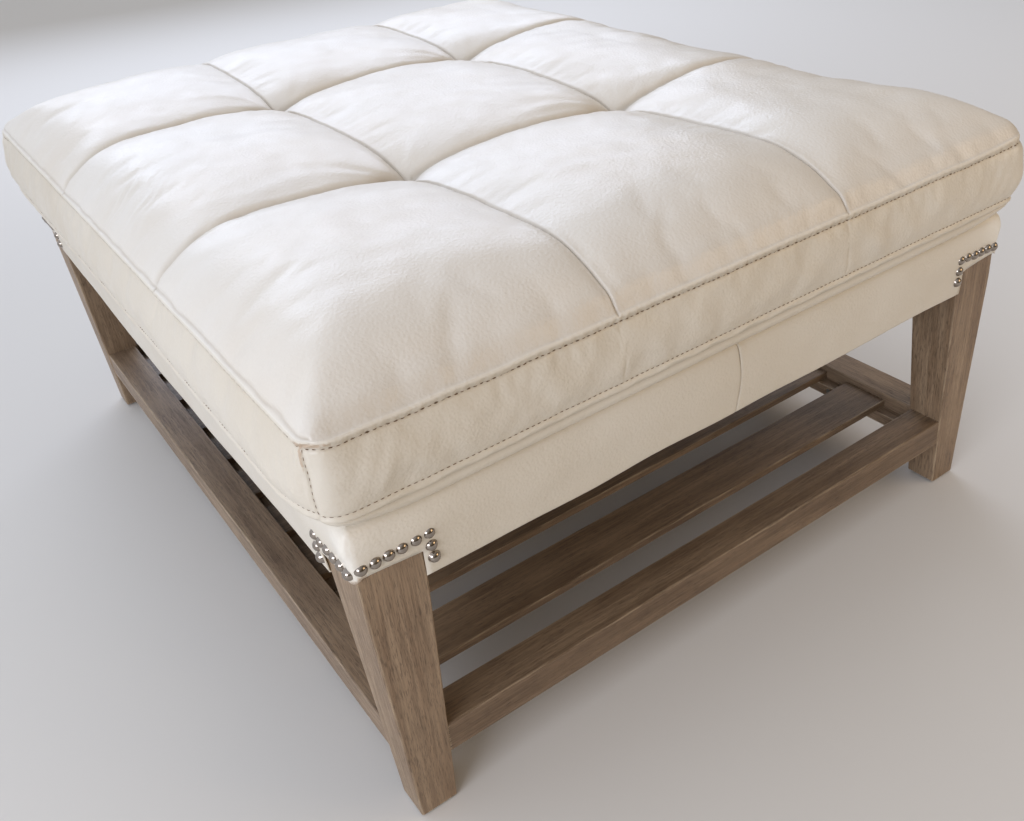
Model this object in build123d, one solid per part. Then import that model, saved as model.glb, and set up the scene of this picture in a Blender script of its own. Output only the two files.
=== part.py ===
"""Ottoman coffee table: a tufted leather cushion on a leather-covered seat frame,
four tapered legs and a slatted shelf.

Millimetres, +Z up. The origin is on the floor under the middle of the table.
The front faces -Y and the left side faces -X.
"""

import math
import os

from build123d import *

# Cushion: its sewn top edge, called the ridge here, is its widest outline.
cushion_width = 914.0
cushion_depth = 1143.0
cushion_corner_radius = 22.0
border_bulge = 3.0
side_draw_in = 3.0
cushion_edge_height = 98.0
lower_seam_height = 19.5
under_band_inset = 12.0
seam_rise = 43.0
tuft_rise = 24.0
panel_crown = 10.0
ridge_arch = 0.6
foam_drop = 9.0
base_cloth_thickness = 1.0

# Leather, and the clearances of soft pieces and of seams.
leather = 1.5
soft_clearance = 0.3
seam_gap = 0.6

# Seat frame, covered by the apron leather.
apron_overhang = 12.5
apron_bottom = 308.5
apron_corner_radius = 4.0
apron_top_round = 8.0
apron_top_return = 25.0
apron_bottom_return = 16.0
seat_rail_height = 75.0
seat_rail_thickness = 22.0
deck_thickness = 12.0

# Cut-outs of the apron leather round the leg tops.
cut_top_margin = 10.2
cut_side_overlap = 1.3
front_cut_height = 30.5
side_row_drop = 5.0

# Legs and glides.
leg_top_width = 65.5
leg_foot_width = 42.0
leg_outer_lean = 9.2
leg_glide_height = 3.0
glide_diameter = 24.0
glide_edge_round = 1.0
glide_pin_diameter = 3.0
glide_pin_length = 15.0

# Shelf.
shelf_rail_top = 107.5
shelf_rail_height = 38.0
shelf_rail_width = 44.5
shelf_rail_setback = 2.0
slat_count = 9
slat_width = 68.0
slat_thickness = 10.5
slat_drop = 10.0
slat_end_gap = 0.5
first_slat_gap = 47.0
slat_edge_round = 1.0
cleat_width = 18.0
cleat_lift = 1.0
cleat_end_gap = 2.0
wood_edge_round = 1.5

# Dowels, screws, bolts, nails and staples.
fit = 0.05
overrun = 5.0
dowel_diameter = 8.0
dowel_length = 36.0
dowel_end_room = 1.0
bolt_diameter = 8.0
bolt_in_leg = 40.0
bolt_past_nut = 3.0
bolt_chamfer = 1.0
washer_diameter = 24.0
washer_thickness = 2.0
nut_width = 13.0
nut_height = 6.5
block_thickness = 32.0
block_notch = 10.0
block_height = 56.0
block_screw_seat = 12.0
block_screw_spread = 15.0
frame_screw_diameter = 4.0
frame_screw_length = 30.0
slat_screw_diameter = 3.5
slat_screw_length = 24.0
slat_screw_spread = 18.0
cleat_screw_length = 32.0
screw_head_scale = 2.0
nail_head_diameter = 12.5
nail_head_height = 5.0
nail_shank_diameter = 1.8
nail_length = 14.0
nail_pitch = 13.5
nail_corner_inset = 6.3
nails_across = 6
nails_down = 2
staple_width = 10.0
staple_wire = 1.2
staple_leg = 8.0
staple_inset = 12.0
dust_cover_thickness = 0.7
dust_cover_inset = 6.0
dust_cover_leg_gap = 1.0

# Tuft ties through foam and deck.
tie_diameter = 3.0
tie_room = 0.3
tie_tail = 4.0
tie_knot_diameter = 7.0
anchor_diameter = 30.0
anchor_thickness = 2.5

# Shares chosen by hand.
panel_count = 3
crest_share = 0.5
shoulder_power = 3.6
dip_power = 2.5
edge_station_shares = (0.0, 0.07, 0.22, 0.5, 0.75, 0.92, 1.0)
inner_station_shares = (0.0, 0.1, 0.28, 0.5, 0.72, 0.9, 1.0)
border_level_shares = (0.0, 0.25, 0.5, 0.75, 1.0)
deck_screw_shares = (-0.66, -0.22, 0.22, 0.66)
staple_shares = (-0.75, -0.5, -0.25, 0.0, 0.25, 0.5, 0.75)

# Outlines that follow from the sizes above.
ridge_x = cushion_width / 2
ridge_y = cushion_depth / 2
apron_x = ridge_x - apron_overhang
apron_y = ridge_y - apron_overhang
frame_x = apron_x - leather
frame_y = apron_y - leather
leg_in_x = frame_x - leg_top_width
leg_in_y = frame_y - leg_top_width
seat_rail_in_x = frame_x - seat_rail_thickness
seat_rail_in_y = frame_y - seat_rail_thickness

# Heights that follow from the sizes above.
seat_rail_bottom = apron_bottom + leather
seat_rail_top = seat_rail_bottom + seat_rail_height
seat_rail_middle = seat_rail_bottom + seat_rail_height / 2
deck_top = seat_rail_top + deck_thickness
apron_top = deck_top + leather
cushion_bottom = apron_top + soft_clearance
ridge_z = cushion_bottom + cushion_edge_height
lower_seam_z = cushion_bottom + lower_seam_height
foam_bottom = cushion_bottom + base_cloth_thickness
foam_top = ridge_z - foam_drop
front_row_z = apron_bottom + front_cut_height + cut_top_margin + leather
side_row_z = front_row_z - side_row_drop
side_cut_height = front_cut_height - side_row_drop
slat_top = shelf_rail_top - slat_drop
slat_bottom = slat_top - slat_thickness
shelf_rail_bottom = shelf_rail_top - shelf_rail_height
cleat_bottom = shelf_rail_bottom + cleat_lift
cleat_middle = (cleat_bottom + slat_bottom) / 2

# The outer faces of the legs lean in from the apron's bottom to the floor.
rail_lean = leg_outer_lean * (1 - shelf_rail_top / apron_bottom)
shelf_x = frame_x - rail_lean - shelf_rail_setback
shelf_y = frame_y - rail_lean - shelf_rail_setback
shelf_in_x = shelf_x - shelf_rail_width
shelf_in_y = shelf_y - shelf_rail_width
shelf_rail_middle = (shelf_rail_top + shelf_rail_bottom) / 2

corner_signs = ((-1, -1), (1, -1), (-1, 1), (1, 1))


def block(x, y, z):
    """Box from three (low, high) pairs."""
    size = [high - low for low, high in (x, y, z)]
    return Pos(x[0], y[0], z[0]) * Box(*size, align=(Align.MIN, Align.MIN, Align.MIN))


def flip(shape, sign_x, sign_y):
    """Mirror a shape made in the +X +Y corner to another corner."""
    if sign_x < 0:
        shape = shape.mirror(Plane.YZ)
    if sign_y < 0:
        shape = shape.mirror(Plane.XZ)
    return shape


def all_corners(shape):
    """The same shape in all four corners."""
    return [flip(shape, *signs) for signs in corner_signs]


def along(shape, origin, direction):
    """Move a shape made along +Z at the origin to an axis in space."""
    return Plane(origin=origin, z_dir=direction).location * shape


def rod(diameter, length):
    """Round bar from the origin up along +Z."""
    return Cylinder(diameter / 2, length, align=(Align.CENTER, Align.CENTER, Align.MIN))


def cut_all(shape, tools):
    """Cut every tool whose box meets the shape's box."""
    box = shape.bounding_box()
    near = [tool for tool in tools if boxes_meet(box, tool.bounding_box())]
    return shape - near if near else shape


def boxes_meet(a, b):
    """True where two boxes share some space."""
    lows = zip(tuple(a.min), tuple(b.max))
    highs = zip(tuple(b.min), tuple(a.max))
    return all(low < high for low, high in (*lows, *highs))


def write(name, shapes):
    """Write one node, a solid or a group of separate solids."""
    solids = [s for shape in shapes for s in shape.solids()]
    part = solids[0] if len(solids) == 1 else Compound(children=solids)
    export_step(part, f"parts/{name}.step")


def rounded_face(x, y, radius, z):
    """Rounded rectangle at a height, from two (low, high) pairs."""
    centre = ((x[0] + x[1]) / 2, (y[0] + y[1]) / 2, z)
    return Pos(*centre) * RectangleRounded(x[1] - x[0], y[1] - y[0], radius)


# Legs: a straight block inside the apron and a taper below it.

edge_radius = apron_corner_radius - leather


def leg():
    """Leg of the +X +Y corner."""
    top = rounded_face((leg_in_x, frame_x), (leg_in_y, frame_y), edge_radius, apron_bottom)
    foot_lean = leg_outer_lean * (1 - leg_glide_height / apron_bottom)
    growth = (leg_top_width - leg_foot_width) * leg_glide_height / apron_bottom
    width = leg_foot_width + growth
    high_x = frame_x - foot_lean
    high_y = frame_y - foot_lean
    foot = rounded_face((high_x - width, high_x), (high_y - width, high_y), edge_radius, leg_glide_height)
    return loft([foot, top], ruled=True) + extrude(top, seat_rail_top - apron_bottom)


def foot_glide():
    """Round glide with a pin, under the leg of the +X +Y corner."""
    centre_x = frame_x - leg_outer_lean - leg_foot_width / 2
    centre_y = frame_y - leg_outer_lean - leg_foot_width / 2
    disc = rod(glide_diameter, leg_glide_height)
    disc = fillet(disc.edges().group_by(Axis.Z)[0], glide_edge_round)
    pin = rod(glide_pin_diameter, leg_glide_height + glide_pin_length)
    hole = rod(glide_pin_diameter + 2 * fit, leg_glide_height + glide_pin_length + fit)
    place = Pos(centre_x, centre_y, 0)
    return place * (disc + pin), place * hole


# Fasteners.


def screw(diameter, length, grow=0.0, recess=0.0):
    """Countersunk wood screw along +Z with its head's top at the origin.

    With grow it is the hole for the screw, and recess opens the hole above the head.
    """
    shank = diameter / 2 + grow
    head = screw_head_scale * diameter / 2 + grow
    cone = head - shank
    tip = length + grow
    with BuildPart() as made:
        with BuildSketch(Plane.XZ):
            with BuildLine():
                Polyline(
                    (0, -recess),
                    (head, -recess),
                    *([(head, 0)] if recess else []),
                    (shank, cone),
                    (shank, tip - shank),
                    (0, tip),
                    close=True,
                )
            make_face()
        revolve(axis=Axis.Z)
    return made.part


def dome_nail():
    """Nail with its head's back at the origin, dome towards -Z and shank along +Z."""
    rim = nail_head_diameter / 2
    shank = nail_shank_diameter / 2
    bow = math.sqrt(0.5)
    with BuildPart() as made:
        with BuildSketch(Plane.XZ):
            with BuildLine():
                Polyline(
                    (rim, 0),
                    (shank, 0),
                    (shank, nail_length - shank),
                    (0, nail_length),
                    (0, -nail_head_height),
                )
                ThreePointArc((0, -nail_head_height), (rim * bow, -nail_head_height * bow), (rim, 0))
            make_face()
        revolve(axis=Axis.Z)
    return made.part


def nail_places():
    """Places of the nails of the +X +Y corner: (point, direction into the wood)."""
    places = []
    inner = nail_corner_inset + (nails_across - 1) * nail_pitch
    row = [(nail_corner_inset + i * nail_pitch, 0) for i in range(nails_across)]
    column = [(inner, (i + 1) * nail_pitch) for i in range(nails_down)]
    for inset, drop in row + column:
        places.append(((apron_x - inset, apron_y, front_row_z - drop), (0, -1, 0)))
        places.append(((apron_x, apron_y - inset, side_row_z - drop), (-1, 0, 0)))
    return places


def nails():
    """Nails of all corners, and the holes for their shanks."""
    head = dome_nail()
    hole = rod(nail_shank_diameter + 2 * fit, nail_length + fit)
    heads = []
    holes = []
    for place in nail_places():
        heads += all_corners(along(head, *place))
        holes += all_corners(along(hole, *place))
    return heads, holes


def dowels():
    """Two dowels in each end of each shelf rail, and their holes."""
    x, y = leg_inner_faces(shelf_rail_middle)
    pieces = []
    holes = []
    for lift in (-shelf_rail_height / 4, shelf_rail_height / 4):
        z = shelf_rail_middle + lift
        for start, direction in (
            ((x, shelf_y - shelf_rail_width / 2, z), (1, 0, 0)),
            ((shelf_x - shelf_rail_width / 2, y, z), (0, 1, 0)),
        ):
            middle = Pos(0, 0, -dowel_length / 2)
            pin = middle * rod(dowel_diameter, dowel_length)
            room = dowel_length + 2 * dowel_end_room
            hole = Pos(0, 0, -room / 2) * rod(dowel_diameter + 2 * fit, room)
            pieces += all_corners(along(pin, start, direction))
            holes += all_corners(along(hole, start, direction))
    return pieces, holes


def leg_inner_faces(z):
    """Places of the two inner faces of the +X +Y leg at a height below the apron."""
    share = 1 - z / apron_bottom
    width = leg_top_width - (leg_top_width - leg_foot_width) * share
    return frame_x - leg_outer_lean * share - width, frame_y - leg_outer_lean * share - width


# Corner blocks: notched over the inner corner of the leg, across the two rails.

block_outer_sum = leg_in_x + leg_in_y + math.sqrt(2) * block_notch
block_inner_sum = block_outer_sum - math.sqrt(2) * block_thickness
block_bottom = seat_rail_middle - block_height / 2


def corner_block(leg_solid):
    """Block of the +X +Y corner, before its holes."""
    points = [
        (block_outer_sum - seat_rail_in_y, seat_rail_in_y),
        (seat_rail_in_x, block_outer_sum - seat_rail_in_x),
        (seat_rail_in_x, block_inner_sum - seat_rail_in_x),
        (block_inner_sum - seat_rail_in_y, seat_rail_in_y),
    ]
    plan = make_face(Polyline(*points, close=True))
    bar = Pos(0, 0, block_bottom) * extrude(plan, block_height)
    notch = block((leg_in_x, frame_x), (leg_in_y, frame_y), (block_bottom, seat_rail_top))
    return bar - notch


def block_screws(grow=0.0, recess=0.0):
    """Four screws of the +X +Y block: two into each rail."""
    made = []
    piece = screw(frame_screw_diameter, frame_screw_length, grow, recess)
    from_end = block_thickness / 2
    for side in (-1, 1):
        z = seat_rail_middle + side * block_screw_spread
        x = block_outer_sum - seat_rail_in_y - from_end
        y = block_outer_sum - seat_rail_in_x - from_end
        made.append(along(piece, (x, seat_rail_in_y - block_screw_seat, z), (0, 1, 0)))
        made.append(along(piece, (seat_rail_in_x - block_screw_seat, y, z), (1, 0, 0)))
    return made


def leg_bolt():
    """Hanger bolt, washer, nut and hole of the +X +Y corner, on the diagonal."""
    lean = (leg_in_x + leg_in_y - block_inner_sum) / math.sqrt(2)
    step = lean / math.sqrt(2)
    start = (leg_in_x - step, leg_in_y - step, seat_rail_middle)
    outside = washer_thickness + nut_height + bolt_past_nut
    total = outside + lean + bolt_in_leg
    bolt = Pos(0, 0, -outside) * rod(bolt_diameter, total)
    bolt = chamfer(bolt.faces().sort_by(Axis.Z)[-1].edges(), bolt_chamfer)
    bore = bolt_diameter + 2 * fit
    washer = rod(washer_diameter, washer_thickness) - rod(bore, washer_thickness)
    washer = Pos(0, 0, -washer_thickness) * washer
    nut_plan = RegularPolygon(nut_width / 2, 6, major_radius=False)
    nut = extrude(nut_plan, nut_height) - rod(bore, nut_height)
    nut = Pos(0, 0, -washer_thickness - nut_height) * nut
    hole = rod(bore, lean + bolt_in_leg + fit)
    return [along(piece, start, (1, 1, 0)) for piece in (bolt, washer, nut, hole)]


# Seat frame.


def seat_rails():
    """Rails between the leg tops, by name."""
    z = (seat_rail_bottom, seat_rail_top)
    long_x = (-leg_in_x, leg_in_x)
    long_y = (-leg_in_y, leg_in_y)
    return {
        "seat_rail_front": block(long_x, (-frame_y, -seat_rail_in_y), z),
        "seat_rail_back": block(long_x, (seat_rail_in_y, frame_y), z),
        "seat_rail_left": block((-frame_x, -seat_rail_in_x), long_y, z),
        "seat_rail_right": block((seat_rail_in_x, frame_x), long_y, z),
        "seat_cross_rail": block(
            (-seat_rail_in_x, seat_rail_in_x), (-seat_rail_thickness / 2, seat_rail_thickness / 2), z
        ),
    }


def deck():
    """Deck board with its top edge rounded like the leather over it."""
    plan = RectangleRounded(2 * frame_x, 2 * frame_y, edge_radius)
    board = Pos(0, 0, seat_rail_top) * extrude(plan, deck_thickness)
    return fillet(board.edges().group_by(Axis.Z)[-1], apron_top_round - leather)


def deck_screws(grow=0.0, recess=0.0):
    """Screws down through the deck into the four seat rails."""
    piece = screw(frame_screw_diameter, frame_screw_length, grow, recess)
    made = []
    for share in deck_screw_shares:
        for side in (-1, 1):
            y = side * (frame_y - seat_rail_thickness / 2)
            x = side * (frame_x - seat_rail_thickness / 2)
            made.append(along(piece, (share * leg_in_x, y, deck_top), (0, 0, -1)))
            made.append(along(piece, (x, share * leg_in_y, deck_top), (0, 0, -1)))
    return made


# Apron leather.


def covered_body(shrink):
    """The covered seat frame, drawn in all round."""
    plan = RectangleRounded(2 * (apron_x - shrink), 2 * (apron_y - shrink), apron_corner_radius - shrink)
    height = apron_top - apron_bottom - 2 * shrink
    body = Pos(0, 0, apron_bottom + shrink) * extrude(plan, height)
    return fillet(body.edges().group_by(Axis.Z)[-1], apron_top_round - shrink)


def cut_outs():
    """Openings of the leather round the +X +Y leg: front or back face, side face, underside."""
    far_x = apron_x + overrun
    far_y = apron_y + overrun
    below = apron_bottom - overrun
    front_z = (below, apron_bottom + front_cut_height)
    side_z = (below, apron_bottom + side_cut_height)
    return [
        block((leg_in_x + cut_side_overlap, far_x), (frame_y - fit, far_y), front_z),
        block((frame_x - fit, far_x), (leg_in_y + cut_side_overlap, far_y), side_z),
        block((leg_in_x, far_x), (leg_in_y, far_y), (below, seat_rail_bottom)),
    ]


def apron_cover():
    """Both leather pieces of the apron, seamed in the middle of the front and back."""
    shell = covered_body(0) - covered_body(leather)
    inner_x = frame_x - apron_top_return
    inner_y = frame_y - apron_top_return
    top_window = block((-inner_x, inner_x), (-inner_y, inner_y), (deck_top - overrun, apron_top + overrun))
    low_x = frame_x - apron_bottom_return
    low_y = frame_y - apron_bottom_return
    low_window = block((-low_x, low_x), (-low_y, low_y), (apron_bottom - overrun, seat_rail_bottom + overrun))
    openings = [piece for cut in cut_outs() for piece in all_corners(cut)]
    shell = shell - [top_window, low_window, *openings]
    z = (apron_bottom - overrun, apron_top + overrun)
    wide_y = (-ridge_y, ridge_y)
    left = shell & block((-ridge_x, -seam_gap / 2), wide_y, z)
    right = shell & block((seam_gap / 2, ridge_x), wide_y, z)
    return {"apron_cover_left": left, "apron_cover_right": right}


# Dust cover and staples.

dust_top = apron_bottom
dust_bottom = dust_top - dust_cover_thickness


def dust_cover():
    """Thin cloth under the seat frame, cut out round the legs."""
    x = frame_x - dust_cover_inset
    y = frame_y - dust_cover_inset
    z = (dust_bottom, dust_top)
    sheet = block((-x, x), (-y, y), z)
    corner_x = (leg_in_x - dust_cover_leg_gap, ridge_x)
    corner_y = (leg_in_y - dust_cover_leg_gap, ridge_y)
    return sheet - all_corners(block(corner_x, corner_y, z))


def staple(grow=0.0):
    """Staple with its crown along X under the dust cover; with grow, the holes of its legs."""
    half = staple_width / 2
    wire = staple_wire / 2
    thick = wire + grow
    z = (dust_bottom, dust_bottom + staple_leg + grow)
    legs = [block((side * half - thick, side * half + thick), (-thick, thick), z) for side in (-1, 1)]
    if grow:
        return legs
    crown = block((-half - wire, half + wire), (-wire, wire), (dust_bottom - staple_wire, dust_bottom))
    return [crown + legs]


def staples(grow=0.0):
    """Staples along all four rails."""
    made = []
    for share in staple_shares:
        for side in (-1, 1):
            x = side * (frame_x - staple_inset)
            y = side * (frame_y - staple_inset)
            made += [Pos(share * leg_in_x, y, 0) * piece for piece in staple(grow)]
            made += [Pos(x, share * leg_in_y, 0) * Rot(0, 0, 90) * piece for piece in staple(grow)]
    return made


# Shelf.


def shelf_rails(legs):
    """Rails of the shelf, cut to the sloping faces of the legs."""
    z = (shelf_rail_bottom, shelf_rail_top)
    reach_x = (-shelf_x, shelf_x)
    reach_y = (-shelf_in_y, shelf_in_y)
    bars = {
        "shelf_rail_front": block(reach_x, (-shelf_y, -shelf_in_y), z),
        "shelf_rail_back": block(reach_x, (shelf_in_y, shelf_y), z),
        "shelf_rail_left": block((-shelf_x, -shelf_in_x), reach_y, z),
        "shelf_rail_right": block((shelf_in_x, shelf_x), reach_y, z),
    }
    made = {}
    for name, bar in bars.items():
        axis = Axis.X if "front" in name or "back" in name else Axis.Y
        bar = fillet(bar.edges().filter_by(axis), wood_edge_round)
        pieces = (bar - legs).solids()
        made[name] = max(pieces, key=lambda piece: piece.volume)
    return made


def slat_places():
    """Middle of each slat along Y."""
    first = shelf_in_y - first_slat_gap - slat_width / 2
    return [-first + 2 * first * i / (slat_count - 1) for i in range(slat_count)]


def slat(y):
    """Slat between the side rails, with eased long edges."""
    x = shelf_in_x - slat_end_gap
    bar = block((-x, x), (y - slat_width / 2, y + slat_width / 2), (slat_bottom, slat_top))
    return fillet(bar.edges().filter_by(Axis.X), slat_edge_round)


def cleat():
    """Cleat of the right side rail, between the legs."""
    y = leg_inner_faces(slat_bottom)[1] - cleat_end_gap
    return block((shelf_in_x - cleat_width, shelf_in_x), (-y, y), (cleat_bottom, slat_bottom))


def slat_screws(grow=0.0, recess=0.0):
    """Two screws up through the cleat into each slat's right end."""
    piece = screw(slat_screw_diameter, slat_screw_length, grow, recess)
    x = shelf_in_x - cleat_width / 2
    return [
        along(piece, (x, y + side * slat_screw_spread, cleat_bottom), (0, 0, 1))
        for y in slat_places()
        for side in (-1, 1)
    ]


def cleat_screws(grow=0.0, recess=0.0):
    """Screws through the right cleat into its rail, between the slats."""
    piece = screw(frame_screw_diameter, cleat_screw_length, grow, recess)
    places = slat_places()
    gaps = [(low + high) / 2 for low, high in zip(places[::2], places[1::2])]
    return [along(piece, (shelf_in_x - cleat_width, y, cleat_middle), (1, 0, 0)) for y in gaps]


# Cushion.


def outline(z, inset):
    """Cushion outline at a height: shallow arcs for the drawn-in sides, round corners."""
    x = ridge_x - inset
    y = ridge_y - inset
    r = cushion_corner_radius
    bow = r * (1 - math.sqrt(0.5))
    turns = [
        ((-x + r, -y), (0, -y + side_draw_in), (x - r, -y)),
        ((x - r, -y), (x - bow, -y + bow), (x, -y + r)),
        ((x, -y + r), (x - side_draw_in, 0), (x, y - r)),
        ((x, y - r), (x - bow, y - bow), (x - r, y)),
        ((x - r, y), (0, y - side_draw_in), (-x + r, y)),
        ((-x + r, y), (-x + bow, y - bow), (-x, y - r)),
        ((-x, y - r), (-x + side_draw_in, 0), (-x, -y + r)),
        ((-x, -y + r), (-x + bow, -y + bow), (-x + r, -y)),
    ]
    return Pos(0, 0, z) * make_face([ThreePointArc(*turn) for turn in turns])


def border_inset(z):
    """How far the cushion's side stands in from the ridge at a height."""
    if z >= lower_seam_z:
        share = (z - lower_seam_z) / (ridge_z - lower_seam_z)
        return -border_bulge * math.sin(math.pi * share)
    drop = min(1.0, (lower_seam_z - z) / (lower_seam_z - cushion_bottom))
    return under_band_inset * drop**2


def side_body(low, high, shrink):
    """The cushion's side between two heights, drawn in all round."""
    levels = [low + share * (high - low) for share in border_level_shares]
    return loft([outline(z, border_inset(z) + shrink) for z in levels])


def border_strips():
    """Four leather strips, parted at the corners."""
    high = ridge_z - leather - seam_gap / 2
    low = lower_seam_z + seam_gap / 2
    ring = side_body(low, high, 0) - side_body(low, high, leather)
    x = ridge_x + overrun
    y = ridge_y + overrun
    inner_x = ridge_x - cushion_corner_radius
    inner_y = ridge_y - cushion_corner_radius
    strips = {}
    z = (low - overrun, high + overrun)
    tools = {
        "front": wedge((-inner_x, inner_x), -inner_y, (-x, x), -y, z, False),
        "back": wedge((-inner_x, inner_x), inner_y, (-x, x), y, z, False),
        "left": wedge((-inner_y, inner_y), -inner_x, (-y, y), -x, z, True),
        "right": wedge((-inner_y, inner_y), inner_x, (-y, y), x, z, True),
    }
    for name, tool in tools.items():
        strips[f"cushion_border_{name}"] = ring & tool
    return strips


def wedge(inner, inner_side, outer, outer_side, z, swap):
    """Prism over one side of the cushion with mitred ends, a seam gap short at each."""
    gap = seam_gap / math.sqrt(2)
    points = [
        (inner[0] + gap, inner_side),
        (inner[1] - gap, inner_side),
        (outer[1] - gap, outer_side),
        (outer[0] + gap, outer_side),
    ]
    if swap:
        points = [(b, a) for a, b in points]
    face = make_face(Polyline(*points, close=True))
    solid = extrude(face, z[1] - z[0], dir=(0, 0, 1))
    return Pos(0, 0, z[0]) * solid


def under_band():
    """Leather that turns under below the lower stitched seam."""
    low = cushion_bottom
    high = lower_seam_z - seam_gap / 2
    return side_body(low, high, 0) - side_body(low, high, leather)


def foam_core():
    """Foam slab inside the border."""
    shrink = leather + soft_clearance
    lower = side_body(foam_bottom, lower_seam_z, shrink)
    upper = side_body(lower_seam_z, foam_top, shrink)
    return lower + upper


def span_rise(share, at_edge, top, end):
    """Height above the ridge along one span of the top.

    An edge span runs from the ridge (share 0) to a row of tufts (share 1). An inner
    span runs between two rows. top is its crest and end its height at the tufts.
    """
    if not at_edge:
        return top - (top - end) * abs(2 * share - 1) ** dip_power
    if share <= crest_share:
        return top * (1 - (1 - share / crest_share) ** shoulder_power)
    return top - (top - end) * ((share - crest_share) / (1 - crest_share)) ** dip_power


def panel_sections(column, row, drop, bottom):
    """Sections across one panel, from its front to its back edge."""
    width = cushion_width / panel_count
    depth = cushion_depth / panel_count
    low_x = -ridge_x + column * width + (seam_gap / 2 if column else 0)
    high_x = -ridge_x + (column + 1) * width - (seam_gap / 2 if column < panel_count - 1 else 0)
    low_y = -ridge_y + row * depth + (seam_gap / 2 if row else 0)
    high_y = -ridge_y + (row + 1) * depth - (seam_gap / 2 if row < panel_count - 1 else 0)
    edge_row = row in (0, panel_count - 1)
    shares = edge_station_shares if edge_row else inner_station_shares
    if row == 0:
        places = [(low_y + share * (high_y - low_y), share) for share in shares]
    else:
        places = [(high_y - share * (high_y - low_y), share) for share in reversed(shares)]
    sections = []
    for y, share in places:
        seam = ridge_z + span_rise(share, edge_row, seam_rise, tuft_rise) - drop
        crown = ridge_z + span_rise(share, edge_row, seam_rise + panel_crown, seam_rise) - drop
        left = ridge_z - drop if column == 0 else seam
        right = ridge_z - drop if column == panel_count - 1 else seam
        middle = ((low_x + high_x) / 2, max(crown, (left + right) / 2 + ridge_arch))
        sections.append(section_face((low_x, left), middle, (high_x, right), y, bottom))
    return sections


def section_face(left, top, right, y, bottom):
    """Upright section: an arch over a flat bottom, or a strip of leather where bottom is None."""
    arch = ThreePointArc(left, top, right)
    if bottom is None:
        under = [(x, z - leather) for x, z in (left, top, right)]
        edges = [arch, Line(right, under[2]), ThreePointArc(*under), Line(under[0], left)]
    else:
        edges = [arch, Polyline(right, (right[0], bottom), (left[0], bottom), left)]
    plane = Plane(origin=(0, y, 0), x_dir=(1, 0, 0), z_dir=(0, -1, 0))
    return plane.location * make_face(edges)


def top_pieces(drop, shrink, bottom):
    """Nine crowned pieces of the top, trimmed to the cushion's outline, by name."""
    z = (cushion_bottom, ridge_z + seam_rise + panel_crown + overrun)
    plan = Pos(0, 0, z[0]) * extrude(outline(0, shrink), z[1] - z[0])
    made = {}
    row_names = ("front", "middle", "back")
    column_names = ("left", "centre", "right")
    for row, row_name in enumerate(row_names):
        for column, column_name in enumerate(column_names):
            piece = loft(panel_sections(column, row, drop, bottom))
            if (row, column) != (1, 1):
                piece = piece & plan
            made[f"top_panel_{row_name}_{column_name}"] = piece
    return made


# Tuft ties.


def tuft_places():
    """The four crossings of the top seams."""
    return [(sx * ridge_x / panel_count, sy * ridge_y / panel_count) for sx, sy in corner_signs]


def tuft_tie():
    """Tie, anchor washer and the hole round the tie, at x = y = 0."""
    top = ridge_z + tuft_rise
    anchor_bottom = seat_rail_top - anchor_thickness
    low = anchor_bottom - tie_tail
    tie = Pos(0, 0, low) * rod(tie_diameter, top - low)
    knot = Pos(0, 0, anchor_bottom - tie_knot_diameter / 2) * Sphere(tie_knot_diameter / 2)
    room = Pos(0, 0, low - overrun) * rod(tie_diameter + 2 * tie_room, top - low + 2 * overrun)
    plate = Pos(0, 0, anchor_bottom) * rod(anchor_diameter, anchor_thickness)
    return tie + knot, plate - room, room


def at_tufts(shape):
    """The same shape at each tuft."""
    return [Pos(x, y, 0) * shape for x, y in tuft_places()]


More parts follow.
